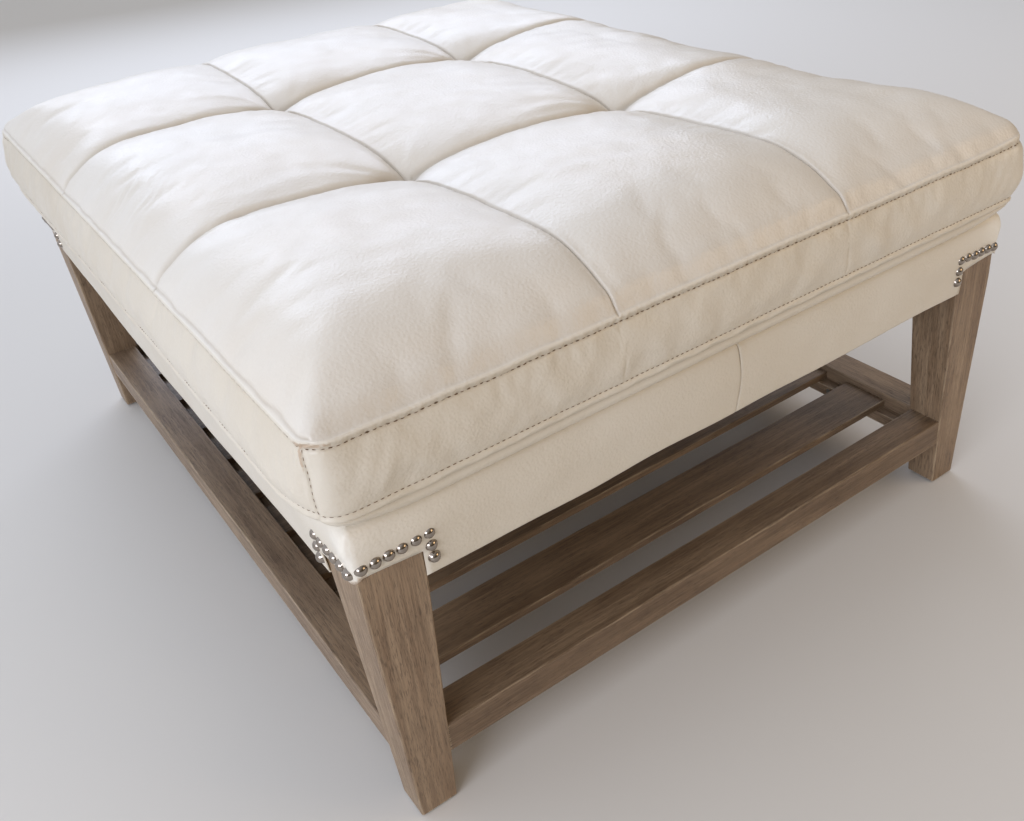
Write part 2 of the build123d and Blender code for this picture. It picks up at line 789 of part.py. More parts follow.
def build():
    """Make and write every node."""
    os.makedirs("parts", exist_ok=True)
    one_leg = leg()
    glide, glide_hole = foot_glide()
    bolt, washer, nut, bolt_hole = leg_bolt()
    nail_heads, nail_holes = nails()
    pins, pin_holes = dowels()
    tie, anchor, tie_hole = tuft_tie()
    tie_holes = at_tufts(tie_hole)
    staple_holes = staples(fit)
    block_holes = block_screws(fit, block_thickness)
    deck_holes = deck_screws(fit, overrun)

    legs = all_corners(one_leg)
    leg_tools = [*nail_holes, *pin_holes, *all_corners(bolt_hole), *all_corners(glide_hole)]
    for solid, name in zip(legs, ("front_left", "front_right", "back_left", "back_right")):
        write(f"leg_{name}", [cut_all(solid, leg_tools)])
    write("foot_glides", all_corners(glide))

    block_solid = corner_block(one_leg) - [bolt_hole, *block_holes]
    write("corner_blocks", all_corners(block_solid))
    write("corner_block_screws", [s for screw_piece in block_screws() for s in all_corners(screw_piece)])
    write("hanger_bolts", all_corners(bolt))
    write("hanger_washers", all_corners(washer))
    write("hanger_nuts", all_corners(nut))

    rail_tools = [*nail_holes, *staple_holes, *deck_holes]
    rail_tools += [hole for block_hole in block_holes for hole in all_corners(block_hole)]
    for name, rail in seat_rails().items():
        write(name, [cut_all(rail, rail_tools)])
    write("deck_board", [cut_all(deck(), [*deck_holes, *tie_holes])])
    write("deck_screws", deck_screws())
    for name, cover in apron_cover().items():
        write(name, [cut_all(cover, [*nail_holes, *staple_holes])])
    write("decorative_nails", nail_heads)
    write("dust_cover", [cut_all(dust_cover(), staple_holes)])
    write("dust_cover_staples", staples())

    for name, rail in shelf_rails(legs).items():
        side = 1 if name.endswith("right") else -1
        tools = [flip(hole, side, 1) for hole in cleat_screws(fit)]
        write(name, [cut_all(rail, [*pin_holes, *tools])])
    slat_holes = slat_screws(fit)
    slat_tools = [flip(hole, side, 1) for hole in slat_holes for side in (-1, 1)]
    for number, y in enumerate(slat_places(), 1):
        write(f"slat_{number}", [cut_all(slat(y), slat_tools)])
    right_cleat = cut_all(cleat(), [*slat_holes, *cleat_screws(fit, overrun)])
    write("slat_cleat_right", [right_cleat])
    write("slat_cleat_left", [flip(right_cleat, -1, 1)])
    write("slat_screws", [flip(piece, side, 1) for piece in slat_screws() for side in (-1, 1)])
    write("cleat_screws", [flip(piece, side, 1) for piece in cleat_screws() for side in (-1, 1)])
    write("shelf_rail_dowels", pins)

    for name, strip in border_strips().items():
        write(name, [strip])
    write("cushion_under_band", [under_band()])
    write("cushion_foam_core", [cut_all(foam_core(), tie_holes)])
    base = extrude(outline(cushion_bottom, under_band_inset + leather + soft_clearance), base_cloth_thickness)
    write("cushion_base_cloth", [cut_all(base, tie_holes)])
    for name, panel in top_pieces(0, 0, None).items():
        write(name, [cut_all(panel, tie_holes)])
    fill_drop = leather + soft_clearance
    fill = top_pieces(fill_drop, fill_drop, foam_top)
    write("fibre_fill", [cut_all(piece, tie_holes) for piece in fill.values()])
    write("tuft_ties", at_tufts(tie))
    write("tuft_anchors", at_tufts(anchor))


build()
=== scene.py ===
# %% [markdown]
# # A tufted leather ottoman table
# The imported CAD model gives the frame: where every piece is, and how large. This file
# dresses it. Each step says what the piece is on the real table, how it could be made
# in Blender, and why it is made the way it is here.

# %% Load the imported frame
import math

import bmesh
import bpy
import numpy as np
from mathutils import Euler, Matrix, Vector


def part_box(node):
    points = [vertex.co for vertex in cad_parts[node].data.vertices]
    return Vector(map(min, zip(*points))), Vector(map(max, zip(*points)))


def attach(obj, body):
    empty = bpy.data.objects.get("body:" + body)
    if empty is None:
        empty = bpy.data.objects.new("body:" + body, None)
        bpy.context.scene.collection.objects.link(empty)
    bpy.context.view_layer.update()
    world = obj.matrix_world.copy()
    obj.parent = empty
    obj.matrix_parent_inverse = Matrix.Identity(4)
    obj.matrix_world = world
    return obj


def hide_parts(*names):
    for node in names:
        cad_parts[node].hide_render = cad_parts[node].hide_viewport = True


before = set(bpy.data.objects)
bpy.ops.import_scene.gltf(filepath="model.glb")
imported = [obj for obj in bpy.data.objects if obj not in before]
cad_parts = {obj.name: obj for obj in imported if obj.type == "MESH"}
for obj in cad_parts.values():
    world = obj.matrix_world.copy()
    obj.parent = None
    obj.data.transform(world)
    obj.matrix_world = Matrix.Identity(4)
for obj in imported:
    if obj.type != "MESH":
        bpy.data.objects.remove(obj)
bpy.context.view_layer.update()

bpy.context.scene.view_settings.view_transform = "Standard"
mm = 0.001
body = "root"

# %% [markdown]
# ## Camera
# The photograph was taken standing over one corner of the table, with a wide lens. The
# place, the turn and the lens come from fitting a pinhole camera to given points.
# Copying the perspective first means that every later difference is a real difference.

# %% Camera at the photograph's angle
lens_data = bpy.data.cameras.new("camera")
lens_data.sensor_width = 36.0
lens_data.lens = 36.2532
lens_data.shift_x = -0.0502
lens_data.shift_y = -0.03034
lens_data.clip_start = 0.02
camera = bpy.data.objects.new("camera", lens_data)
camera.location = (-0.64393, -1.21688, 0.93443)
camera.rotation_euler = Euler([math.radians(a) for a in (57.93838, 4.92562, -36.25026)])
bpy.context.collection.objects.link(camera)
bpy.context.scene.camera = camera
print("camera lens:", lens_data.lens, "mm")

# %% [markdown]
# ## Small helpers
# Three things are needed everywhere: a colour as people write it, a node with its settings
# and links in one line, and a mesh object made from points and faces.

# %% Colours, nodes and meshes


def paint(hex_colour):
    """Linear colour from an sRGB hex colour such as E8E2D6."""
    levels = [int(hex_colour[i:i + 2], 16) / 255 for i in (0, 2, 4)]
    linear = [v / 12.92 if v <= 0.04045 else ((v + 0.055) / 1.055) ** 2.4 for v in levels]
    return (*linear, 1.0)


def feed(node, inputs):
    """Gives sockets a value, one output of another node, or a node's first output in use."""
    for key, value in inputs.items():
        if isinstance(value, bpy.types.Node):
            value = next(output for output in value.outputs if output.enabled)
        if isinstance(value, bpy.types.NodeSocket):
            node.id_data.links.new(value, node.inputs[key])
        else:
            node.inputs[key].default_value = value


def add(tree, kind, inputs=None, **settings):
    """Adds a node with its settings, and feeds its sockets, by name or number."""
    node = tree.nodes.new(kind)
    for key, value in settings.items():
        setattr(node, key, value)
    feed(node, inputs or {})
    return node


def blank(name):
    """A material with its tree and its shader, to work on."""
    material = bpy.data.materials.new(name)
    material.use_nodes = True
    return material, material.node_tree, material.node_tree.nodes["Principled BSDF"]


def new_piece(name, points, faces, *materials, edges=()):
    """A mesh object at the origin, smooth shaded, with its place in its points."""
    mesh = bpy.data.meshes.new(name)
    mesh.from_pydata([tuple(p) for p in points], edges, faces)
    mesh.shade_smooth()
    piece = bpy.data.objects.new(name, mesh)
    bpy.context.collection.objects.link(piece)
    for material in materials:
        mesh.materials.append(material)
    return piece


print("middle grey as a linear colour:", [round(level, 3) for level in paint("808080")])

# %% [markdown]
# ## Light and floor
# The table was photographed indoors: a cool window behind it, a second one at the front
# left, and a warm, weaker room at the front right. Three large area lights and a pale
# world do the same and keep the shadows soft. The floor is plain and pale so that
# nothing distracts.

# %% Window light and room light
# Each light: where it stands, where it looks, its width and height, its watts and colour.
lights = {
    "window": ((0.95, 3.05, 2.0), (0, 0, 0.45), (3.8, 1.9), 63, "DFE9FF"),
    "side_window": ((-2.6, -1.45, 1.2), (-0.4, -0.4, 0.3), (1.5, 1.2), 34, "EFF1FC"),
    "room": ((1.9, -2.4, 1.6), (0.3, 0, 0.35), (1.8, 1.3), 18, "FFDDB2"),
}
for name, (place, target, size, watts, colour) in lights.items():
    data = bpy.data.lights.new(name, "AREA")
    data.shape = "RECTANGLE"
    data.size, data.size_y = size
    data.energy = watts
    data.color = paint(colour)[:3]
    lamp = bpy.data.objects.new(name, data)
    lamp.location = place
    lamp.rotation_euler = (Vector(target) - Vector(place)).to_track_quat("-Z", "Y").to_euler()
    bpy.context.collection.objects.link(lamp)
print("lights:", list(lights))

# %% The room's own light, and the floor
world = bpy.data.worlds.new("studio")
bpy.context.scene.world = world
world.use_nodes = True
sky = world.node_tree
# The room is bright on the window's side and overhead, and dim and warm behind the camera.
brightest = Vector((-0.55, 0.45, 0.7)).normalized()
ray = add(sky, "ShaderNodeTexCoord").outputs["Generated"]
toward = add(sky, "ShaderNodeVectorMath", {0: ray, 1: brightest}, operation="DOT_PRODUCT")
share = add(sky, "ShaderNodeMapRange", {"Value": toward, "From Min": -0.4, "From Max": 0.95},
            interpolation_type="SMOOTHSTEP")
hue = add(sky, "ShaderNodeMix", {0: share, 6: paint("C5B295"), 7: paint("EFF3FC")}, data_type="RGBA")
power = add(sky, "ShaderNodeMapRange", {"Value": share, "To Min": 0.28, "To Max": 0.95})
feed(sky.nodes["Background"], {"Color": hue, "Strength": power})

floor_paint, tree, shader = blank("floor_paint")
feed(shader, {"Base Color": paint("DAD8D4"), "Roughness": 0.9})
floor_half = 20.0
corners = [(x * floor_half, y * floor_half, 0) for x, y in ((-1, -1), (1, -1), (1, 1), (-1, 1))]
floor = new_piece("floor", corners, [(0, 1, 2, 3)], floor_paint)
print("floor:", 2 * floor_half, "m wide")

# %% [markdown]
# ## Leather
# Bonded ivory leather: a flat hide pressed with a small pebble grain and finished with
# a satin coat. The eye sees a soft broad sheen, tiny pebbles at a grazing angle, cooler
# and warmer clouds of colour, and a tan tint where the finish has worn off. Shade is
# painted in as a tan tint along the seams and creases, and a highlight as a pale tint
# along folded edges. The seams, worn places and folds come in as attributes of the mesh,
# so the tints sit where they are.

# %% Leather


def painted(tree, colour, layers):
    """Lays colours over one another, each by how far a value has gone from start to full."""
    tone = paint(colour)
    for value, start, full, most, over in layers:
        share = add(tree, "ShaderNodeMapRange",
                    {"Value": value, "From Min": start, "From Max": full, "To Max": most})
        tone = add(tree, "ShaderNodeMix", {0: share, 6: tone, 7: paint(over)}, data_type="RGBA")
    return tone


crease_grain, cloud_grain, speck_grain = 6 * mm, 170 * mm, 28 * mm
# Pebbles are about 1.5 mm on the real hide; 3 mm is the least that the picture shows.
pebble_grain, pebble_sway, pebble_depth, crease_depth = 3 * mm, 2.4 * mm, 0.6 * mm, 0.9 * mm


def leather(name, pale, warm, roughness):
    """Ivory bonded leather, satin finish."""
    material, tree, shader = blank(name)
    place = add(tree, "ShaderNodeTexCoord").outputs["Object"]
    # Creases of the finish, wide clouds of colour, and specks of shine.
    creases, clouds, specks = (
        add(tree, "ShaderNodeTexNoise",
            {"Vector": place, "Scale": 1 / grain, "Detail": detail, "Distortion": distortion})
        for grain, detail, distortion in ((crease_grain, 4, 0.8), (cloud_grain, 3, 0), (speck_grain, 4, 0)))
    sway = add(tree, "ShaderNodeTexNoise", {"Vector": place, "Scale": 1 / crease_grain, "Detail": 2.0})
    swayed = add(tree, "ShaderNodeVectorMath", {0: sway.outputs["Color"], "Scale": pebble_sway},
                 operation="SCALE")
    moved = add(tree, "ShaderNodeVectorMath", {0: place, 1: swayed})
    pebbles = add(tree, "ShaderNodeTexVoronoi", {"Vector": moved, "Scale": 1 / pebble_grain},
                  feature="SMOOTH_F1")
    rubbed, seam, worn = (add(tree, "ShaderNodeAttribute", attribute_name=mark).outputs["Fac"]
                          for mark in ("rubbed", "seam", "wear"))
    # The finish flakes off in small islands: the wear decides how much of the noise is worn.
    flakes = add(tree, "ShaderNodeMath", {0: worn, 1: 0.75, 2: creases}, operation="MULTIPLY_ADD")
    # Over the pale base: warm clouds, a painted highlight in pale F6F2E8, painted shade in tan 9C8A70 from
    # the seam mark, and worn finish in B6987A.
    tone = painted(tree, pale, [(clouds, 0.35, 0.68, 1, warm), (rubbed, 0, 1, 0.8, "F6F2E8"),
                                (seam, 0, 1, 0.55, "9C8A70"), (flakes, 0.92, 1.15, 0.6, "B6987A")])
    shine = add(tree, "ShaderNodeMapRange",
                {"Value": specks, "From Min": 0.3, "From Max": 0.7,
                 "To Min": roughness - 0.05, "To Max": roughness + 0.07})
    coarse = add(tree, "ShaderNodeBump", {"Height": creases, "Strength": 0.25, "Distance": crease_depth})
    fine = add(tree, "ShaderNodeBump",
               {"Height": pebbles, "Strength": 0.55, "Distance": pebble_depth, "Normal": coarse},
               invert=True)
    feed(shader, {"Base Color": tone, "Roughness": shine, "Normal": fine, "IOR": 1.5,
                  "Coat Weight": 0.12, "Coat Roughness": 0.32})
    return material


top_leather = leather("ivory_bonded_leather_top", "E8E4DC", "E3DCD0", 0.38)
# The side copy is the same leather, coloured darker and warmer: painted shade for the border and the apron,
# which get less light than the top.
shaded_side_leather = leather("ivory_bonded_leather_side", "DFD8CA", "D9D0BF", 0.40)
print("leathers:", top_leather.name, shaded_side_leather.name)

# %% [markdown]
# ## Cushion: the cover's shape
# The cover is nine leather panels sewn into a sheet, a border strip round it and a band
# that turns under. Ties pull the four crossings of the seams down to the deck. It could
# be sculpted, or blown up from a plain box, but then the seams would wander. So the
# cover is laid out as a grid whose lines follow the seams, close together where leather
# bends sharply, and a rule gives each point its height: steep at the ridge, dipping
# towards the tufts, and full between the seams.

# %% Sizes of the cushion, read from the frame
band_low, band_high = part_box("cushion_under_band")
ridge_x, ridge_y = band_high.x, band_high.y
cushion_bottom = band_low.z
edge_height = 93.6 * mm
ridge_z = cushion_bottom + edge_height
cushion_slide = -3 * mm
corner_radius = 24 * mm
side_draw_in = 2.2 * mm
corner_lift, side_dip = 4.2 * mm, 1.4 * mm
ridge_sways = ((0.5 * mm, 160 * mm, 3), (0.35 * mm, 60 * mm, 4))     # how much, how long, seed
panel_count = 3
tufts = [(x * ridge_x / panel_count, y * ridge_y / panel_count) for y in (-1, 1) for x in (-1, 1)]
seam_rise = 47.9 * mm
tuft_dip, tuft_reach, pit_half = 24 * mm, 50 * mm, 3.5 * mm
panel_crown, crown_clear = 10 * mm, 11 * mm
crest_share, shoulder_power = 0.484, 2.7
edge_fullness = 70 * mm
# The filling has sunk at the right, and stands higher behind the middle of the left side.
right_slump, slump_across, slump_front = 4.5 * mm, (150 * mm, 400 * mm), (300 * mm, 480 * mm)
back_lift, lift_place, lift_reach = 6 * mm, (-150 * mm, 480 * mm), 200 * mm
# It has crept under the seams that run across on the right, and is packed tight along the front.
right_seam_fill, fill_reach, fill_across = 7 * mm, 45 * mm, (170 * mm, 300 * mm)
front_fullness, front_start, front_reach = 8 * mm, 12 * mm, 150 * mm
print("ridge:", round(ridge_x, 4), round(ridge_y, 4), round(ridge_z, 4))

# %% Four curves to shape leather with


def bell(distance, width):
    """1 at zero distance, falling to nothing over about twice the width."""
    return np.exp(-(distance / width) ** 2)


def ease(value, start, end):
    """0 before start, 1 after end, and smooth between."""
    share = np.clip((value - start) / (end - start), 0, 1)
    return share * share * (3 - 2 * share)


def joined(a, b, power):
    """A smooth least of two shares: 1 where both are 1, and close to the lower one elsewhere."""
    return ((a ** -power + b ** -power) / 2) ** (-1 / power)


def uneven(x, y, wavelength, seed, waves=9):
    """Smooth hills and hollows of about one wavelength, between about -1 and 1."""
    rng = np.random.default_rng(seed)
    total = 0
    for turn, phase, stretch in zip(rng.uniform(0, np.pi, waves), rng.uniform(0, 2 * np.pi, waves),
                                    rng.uniform(0.7, 1.5, waves)):
        along = (x * np.cos(turn) + y * np.sin(turn)) * 2 * np.pi / (wavelength * stretch)
        total = total + np.sin(along + phase)
    return total / math.sqrt(waves)


print("curves at half width:", round(bell(0.5, 1), 2), round(float(ease(0.5, 0, 1)), 2))

# %% How the top rises


def across(place, half):
    """Along one direction: the rise from the ridge, the pull of a tuft, and the fullness."""
    a = np.abs(place) * panel_count / half
    inner = a < 1
    share = np.clip((panel_count - a) / 2, 0, 1)
    climb = 1 - np.clip(1 - share / crest_share, 0, 1) ** shoulder_power
    rise = np.maximum(np.where(inner, 1.0, climb), 1e-3)
    from_line = np.abs(a - 1) * half / panel_count
    pull = np.exp(-np.clip(from_line - pit_half, 0, None) / tuft_reach)
    side = np.where(inner, a, np.abs(2 * share - 1))
    full = np.clip(1 - side ** 2.8, 0, 1)
    at_edge = 1 - np.exp(-np.clip(half - np.abs(place), 0, None) / edge_fullness)
    full = np.where(~inner & (share < 0.5), at_edge, full)
    return rise, pull, np.maximum(full, 1e-3)


def seam_distance(x, y):
    """Distance to the nearest panel seam, and to the nearest tuft."""
    dx = np.abs(np.abs(x) - ridge_x / panel_count)
    dy = np.abs(np.abs(y) - ridge_y / panel_count)
    return np.minimum(dx, dy), np.hypot(dx, dy)


def top_height(x, y):
    """Height of the cover's top above its ridge."""
    rise_x, pull_x, full_x = across(x, ridge_x)
    rise_y, pull_y, full_y = across(y, ridge_y)
    rise = joined(rise_x, rise_y, 8)
    slump = right_slump * ease(x, *slump_across) * (1 - ease(-y, *slump_front))
    lift = back_lift * bell(np.hypot(x - lift_place[0], y - lift_place[1]), lift_reach)
    height = (seam_rise + lift - slump) * rise - tuft_dip * pull_x * pull_y
    from_cross_seam = np.abs(y) - ridge_y / panel_count
    crept = bell(from_cross_seam, fill_reach) * ease(x, *fill_across)
    from_front = np.clip(y + ridge_y, 0, None)
    packed = (1 - np.exp(-from_front / front_start)) * bell(from_front, front_reach)
    height += right_seam_fill * crept * rise_x + front_fullness * packed * joined(rise_x, 1.0, 8)
    clear_of_tuft = 1 - bell(seam_distance(x, y)[1], crown_clear)
    return height + panel_crown * joined(full_x, full_y, 4) * clear_of_tuft


def ridge_lift(x, y):
    """The ridge stands higher at the corners and sags a little along the sides."""
    corner = (np.abs(x) / ridge_x) ** 7 * (np.abs(y) / ridge_y) ** 7
    sway = sum(much * uneven(x, y, wavelength, seed) for much, wavelength, seed in ridge_sways)
    return corner_lift * corner - side_dip * (1 - corner) + sway


print("crown above the ridge:", round(float(top_height(0.0, 0.0)), 4))

# %% The top as a grid whose lines follow the seams
seam_steps = np.array([0, 1.2, 3, 5.5, 9, 14, 20, 28]) * mm
middle_step = 7 * mm


def stations(half):
    """Grid lines across the cushion, close together at the seams and the ridge."""
    span = 2 * half / panel_count
    count = round((span - 2 * seam_steps[-1]) / middle_step)
    panel = [seam_steps, np.linspace(seam_steps[-1], span - seam_steps[-1], count + 1)[1:-1],
             span - seam_steps[:0:-1]]
    lines = [-half + i * span + np.concatenate(panel) for i in range(panel_count)]
    return np.append(np.concatenate(lines), half)


def into_outline(x, y):
    """Moves a point of the plain rectangle into the rounded, drawn-in outline."""
    out = []
    over_x = np.clip(np.abs(x) - (ridge_x - corner_radius), 0, None) / corner_radius
    over_y = np.clip(np.abs(y) - (ridge_y - corner_radius), 0, None) / corner_radius
    for a, b, half, over, other, far in ((x, y, ridge_x, over_x, over_y, ridge_y),
                                         (y, x, ridge_y, over_y, over_x, ridge_x)):
        inside = np.minimum(np.abs(a), half - corner_radius)
        place = inside + corner_radius * over * np.sqrt(1 - other ** 2 / 2)
        draw = side_draw_in * (1 - np.abs(b / far) ** 2.5)
        out.append(np.sign(a) * (place - draw * (np.abs(a) / half) ** 3))
    return out


grid_x, grid_y = stations(ridge_x), stations(ridge_y)
columns, rows = len(grid_x), len(grid_y)
flat_x, flat_y = np.meshgrid(grid_x, grid_y, indexing="ij")
top_z = ridge_z + top_height(flat_x, flat_y) + ridge_lift(flat_x, flat_y)
points = np.stack([*into_outline(flat_x, flat_y), top_z], -1).reshape(-1, 3)
flat = np.stack([flat_x, flat_y, 0 * flat_x], -1).reshape(-1, 3)
number = np.arange(columns * rows).reshape(columns, rows)
ring = np.concatenate([number[:-1, 0], number[-1, :-1], number[:0:-1, -1], number[0, :0:-1]])
print("top:", columns, "x", rows, "points, ring of", len(ring))

# %% How the border hangs from the ridge
# Rings down the border: how far each stands in from the ridge, and its drop, in mm.
border_rings = [
    (-0.9, 0.5), (-1.4, 1.4), (-1.2, 2.6), (-0.5, 3.9), (0.2, 5.2), (0.9, 6.8), (1.5, 8.0),
    (1.1, 9.2), (0.2, 11), (-1.3, 14.6), (-2.7, 20.6), (-3.9, 28.6), (-4.5, 37.6), (-4.5, 46.6),
    (-3.9, 54.6), (-2.7, 61.6), (-1.3, 67.1), (0.1, 70.8), (0.8, 72.2), (0.3, 73.4), (-0.6, 75.0),
    (-1.0, 76.8), (-0.2, 78.6), (1.7, 79.8), (2.5, 80.8), (1.6, 82.4), (1.4, 84.6), (2.6, 88.1),
    (5.6, 91.4), (9.5, 93.0), (15.0, 93.6),
]
stitch_drops = (8 * mm, 72.2 * mm)
lower_seam_drop = 80.1 * mm
# The border is slack: on the left it hangs 12 mm out over the apron, elsewhere less.
lean_left, lean_front, lean_right, lean_back = 12 * mm, 1 * mm, 3 * mm, 3 * mm
corner_lean, corner_reach, corner_seam_depth, corner_seam_width = 6 * mm, 48 * mm, 1.5 * mm, 2.4 * mm
# At the near corner the cover sits twisted: its seam is 12 mm round to the left, and tight.
seam_twist, twist_reach, tight_reach = 12 * mm, 24 * mm, 30 * mm
# The under band is drawn up at the corners and droops over the apron between them.
band_droop, band_draw_up, draw_up_reach = 4 * mm, 7 * mm, 50 * mm
# Up to here a place belongs to the near corner.
near_reach = 200 * mm

edge = points[ring]
ahead, behind = np.roll(edge, -1, 0), np.roll(edge, 1, 0)
tangent = (ahead - behind)[:, :2]
tangent /= np.linalg.norm(tangent, axis=1)[:, None]
outward = np.stack([tangent[:, 1], -tangent[:, 0]], 1)
corner_gap = np.hypot(np.abs(flat[ring, 0]) - ridge_x, np.abs(flat[ring, 1]) - ridge_y)
near_gap = np.hypot(flat[ring, 0] + ridge_x, flat[ring, 1] + ridge_y)
walked = np.concatenate([[0], np.cumsum(np.linalg.norm((ahead - edge)[:, :2], axis=1))])
twisted = walked[:-1] - seam_twist * bell(near_gap, twist_reach)
turned_edge, turned_out = (
    np.stack([np.interp(twisted, walked[:-1], column, period=walked[-1]) for column in whole.T], -1)
    for whole in (edge, outward))
turned_out /= np.linalg.norm(turned_out, axis=1)[:, None]
at_corner = bell(corner_gap, corner_reach)
lean = (1 - at_corner) * sum(
    reach * np.clip(way * outward[:, axis], 0, 1) ** 2
    for reach, axis, way in ((lean_left, 0, -1), (lean_right, 0, 1),
                             (lean_front, 1, -1), (lean_back, 1, 1)))
corner_push = corner_lean * at_corner * (near_gap > near_reach)
corner_groove = bell(corner_gap, corner_seam_width)
tight = 1 - 0.85 * bell(near_gap, tight_reach)
droop = band_draw_up * bell(corner_gap, draw_up_reach) - band_droop * (1 - at_corner)
print("border leans out by up to", round(float(lean.max()) / mm, 1), "mm")

# %% The cover: the top, and rings below it


def squares(kept):
    """Faces of a grid of points, of which only those kept are there and numbered."""
    number = np.cumsum(kept).reshape(kept.shape) - 1
    near, far = slice(None, -1), slice(1, None)
    corners = ((near, near), (far, near), (far, far), (near, far))
    whole = np.all([kept[corner] for corner in corners], axis=0)
    return np.stack([number[corner] for corner in corners], -1)[whole]


all_points, all_flat = [points], [flat]
for inset, drop in border_rings:
    out = lean * ease(drop, 6, 66) * (1 - 0.8 * ease(drop, 81, 94)) - inset * mm * (
        tight if inset < 0 and 10 < drop < 70 else 1)
    out = out + corner_push * ease(drop, 0, 14) * (1 - 0.7 * ease(drop, 48, 78))
    out = out - corner_groove * corner_seam_depth * (4 < drop < 80)
    turn = ease(drop, 0, 6)
    level = edge + (turned_edge - edge) * turn
    level[:, :2] += (outward + (turned_out - outward) * turn) * out[:, None]
    level[:, 2] -= (level[:, 2] - cushion_bottom) * drop * mm / edge_height
    level[:, 2] += droop * ease(drop, 76, 88) * (1 - (drop > 93.5) * (droop < 0))
    all_points.append(level)
    all_flat.append(np.column_stack([flat[ring, :2], np.full(len(ring), drop * mm)]))

faces = squares(number >= 0).tolist()
top_face_count = len(faces)
upper = ring
for k in range(len(border_rings)):
    lower = columns * rows + k * len(ring) + np.arange(len(ring))
    faces += [(lower[i], lower[i + 1 - len(ring)], upper[i + 1 - len(ring)], upper[i])
              for i in range(len(ring))]
    upper = lower
cover_points = np.concatenate(all_points)
cover_points[:, 0] += cushion_slide
cover_flat = np.concatenate(all_flat)
print("cover:", len(cover_points), "points,", len(faces), "faces")

# %% [markdown]
# ## Cushion: air in the cover
# Leather that is sewn, tied down and stuffed is stretched over the filling, and is a
# little too large near the seams. A formula gives the rise but not that tension. So the
# cover is run as cloth for twenty frames: its seams, stitched rows and band are held,
# the leather is cut half a percent too large, and air presses it out. No point may move
# further than a few millimetres, so the photographed shape stays.

# %% The cover as a piece, and what holds it


def give_vectors(mesh, name, rows):
    """Keeps a vector for each point of a mesh as an attribute."""
    layer = mesh.attributes.new(name, "FLOAT_VECTOR", "POINT")
    layer.data.foreach_set("vector", np.asarray(rows, np.float32).ravel())


# The cloth round the foam is woven from undyed yarn: matt, with no grain that would show.
lining, tree, shader = blank("woven_lining_cloth")
feed(shader, {"Base Color": paint("D9D4C8"), "Roughness": 0.95})
cushion = new_piece("cushion", cover_points, faces, top_leather, shaded_side_leather, lining)
part_of_face = np.full(len(faces), 1)
part_of_face[:top_face_count] = 0
cushion.data.polygons.foreach_set("material_index", part_of_face.astype(np.int32))
give_vectors(cushion.data, "flat", cover_flat)

from_seam, from_tuft = seam_distance(cover_flat[:, 0], cover_flat[:, 1])
drop = cover_flat[:, 2]
touching, near_thread, held_tuft, ridge_strip, band_start = 0.5 * mm, 0.3 * mm, 6 * mm, 3 * mm, 79 * mm
held = (drop == 0) & ((from_seam < touching) | (from_tuft < held_tuft))
held |= np.min([np.abs(drop - row) for row in stitch_drops], axis=0) < near_thread
held |= (drop > band_start) | ((drop > 0) & (drop < ridge_strip))
held[ring] = True
held[columns * rows:] |= np.tile(corner_groove > 0.5, len(border_rings))
print("held points:", int(held.sum()), "of", len(held))

# %% Cloth pass on the cover
cloth_frames, air_pressure, cut_too_large, most_move = 20, 2.2, 0.005, 5 * mm


def vectors(rows, what):
    """Places, normals or an attribute's vectors as an array with a row for each."""
    numbers = np.zeros(len(rows) * 3, np.float32)
    rows.foreach_get(what, numbers)
    return numbers.reshape(-1, 3).astype(float)


def puff(piece, held):
    """Runs a piece as cloth under air pressure, then caps how far a point moved."""
    start = vectors(piece.data.vertices, "co")
    group = piece.vertex_groups.new(name="held")
    group.add([int(i) for i in np.flatnonzero(held)], 1.0, "REPLACE")
    cloth = piece.modifiers.new("cloth", "CLOTH")
    cloth.settings.quality = 5
    cloth.settings.mass = 0.4
    cloth.settings.use_pressure = True
    cloth.settings.uniform_pressure_force = air_pressure
    cloth.settings.vertex_group_mass = "held"
    cloth.settings.shrink_min = -cut_too_large
    cloth.settings.effector_weights.gravity = 0
    for step in range(1, cloth_frames + 1):
        bpy.context.scene.frame_set(step)
    swollen = piece.evaluated_get(bpy.context.evaluated_depsgraph_get()).data
    move = vectors(swollen.vertices, "co") - start
    piece.modifiers.remove(cloth)
    piece.vertex_groups.remove(group)
    bpy.context.scene.frame_set(1)
    length = np.linalg.norm(move, axis=1)
    shorter = most_move * np.tanh(length / most_move) / np.maximum(length, 1e-9)
    piece.data.vertices.foreach_set("co", (start + move * shorter[:, None]).ravel())
    piece.data.update()
    return length * shorter / mm


moved = puff(cushion, held)
print("cloth moved points by up to", round(float(moved.max()), 1), "mm")

# %% [markdown]
# ## Cushion: the leather's own marks
# On the real cushion the seams are crisp, with the leather rolled over on one side.
# Folds fan out from each tuft, small puckers cross the stitched edge, and nothing is
# quite flat. These are finer than the cloth pass can give, so they are added after it:
# the cover is subdivided once, and each point moves along its normal by a rule of its
# place on the flat leather. The same rules leave three attributes for the material:
# painted shade as a tan tint in the seams, troughs, pits and hem band, where the finish
# is worn off, and a painted highlight as a pale tint along the folded ridge.

# %% A finer mesh, and where its points lie on the flat leather


def baked(piece):
    """Keeps what a piece's modifiers make of it as its plain mesh."""
    graph = bpy.context.evaluated_depsgraph_get()
    mesh = bpy.data.meshes.new_from_object(piece.evaluated_get(graph), depsgraph=graph,
                                           preserve_all_data_layers=True)
    piece.modifiers.clear()
    piece.data = mesh
    return mesh


smooth = cushion.modifiers.new("smooth", "SUBSURF")
smooth.levels = smooth.render_levels = 1
fine = baked(cushion)
x, y, drop = vectors(fine.attributes["flat"].data, "vector").T
place, way = vectors(fine.vertices, "co"), vectors(fine.vertex_normals, "vector")
from_seam, from_tuft = seam_distance(x, y)
in_x, in_y = ridge_x - np.abs(x), ridge_y - np.abs(y)
from_ridge, to_corner = np.minimum(in_x, in_y), np.hypot(in_x, in_y)
turn_over = 0.8 * mm
top_share = np.clip(1 - drop / turn_over, 0, 1)
side_share = 1 - top_share
print("finer cover:", len(x), "points")

# %% Folds, pleats and dents of the top


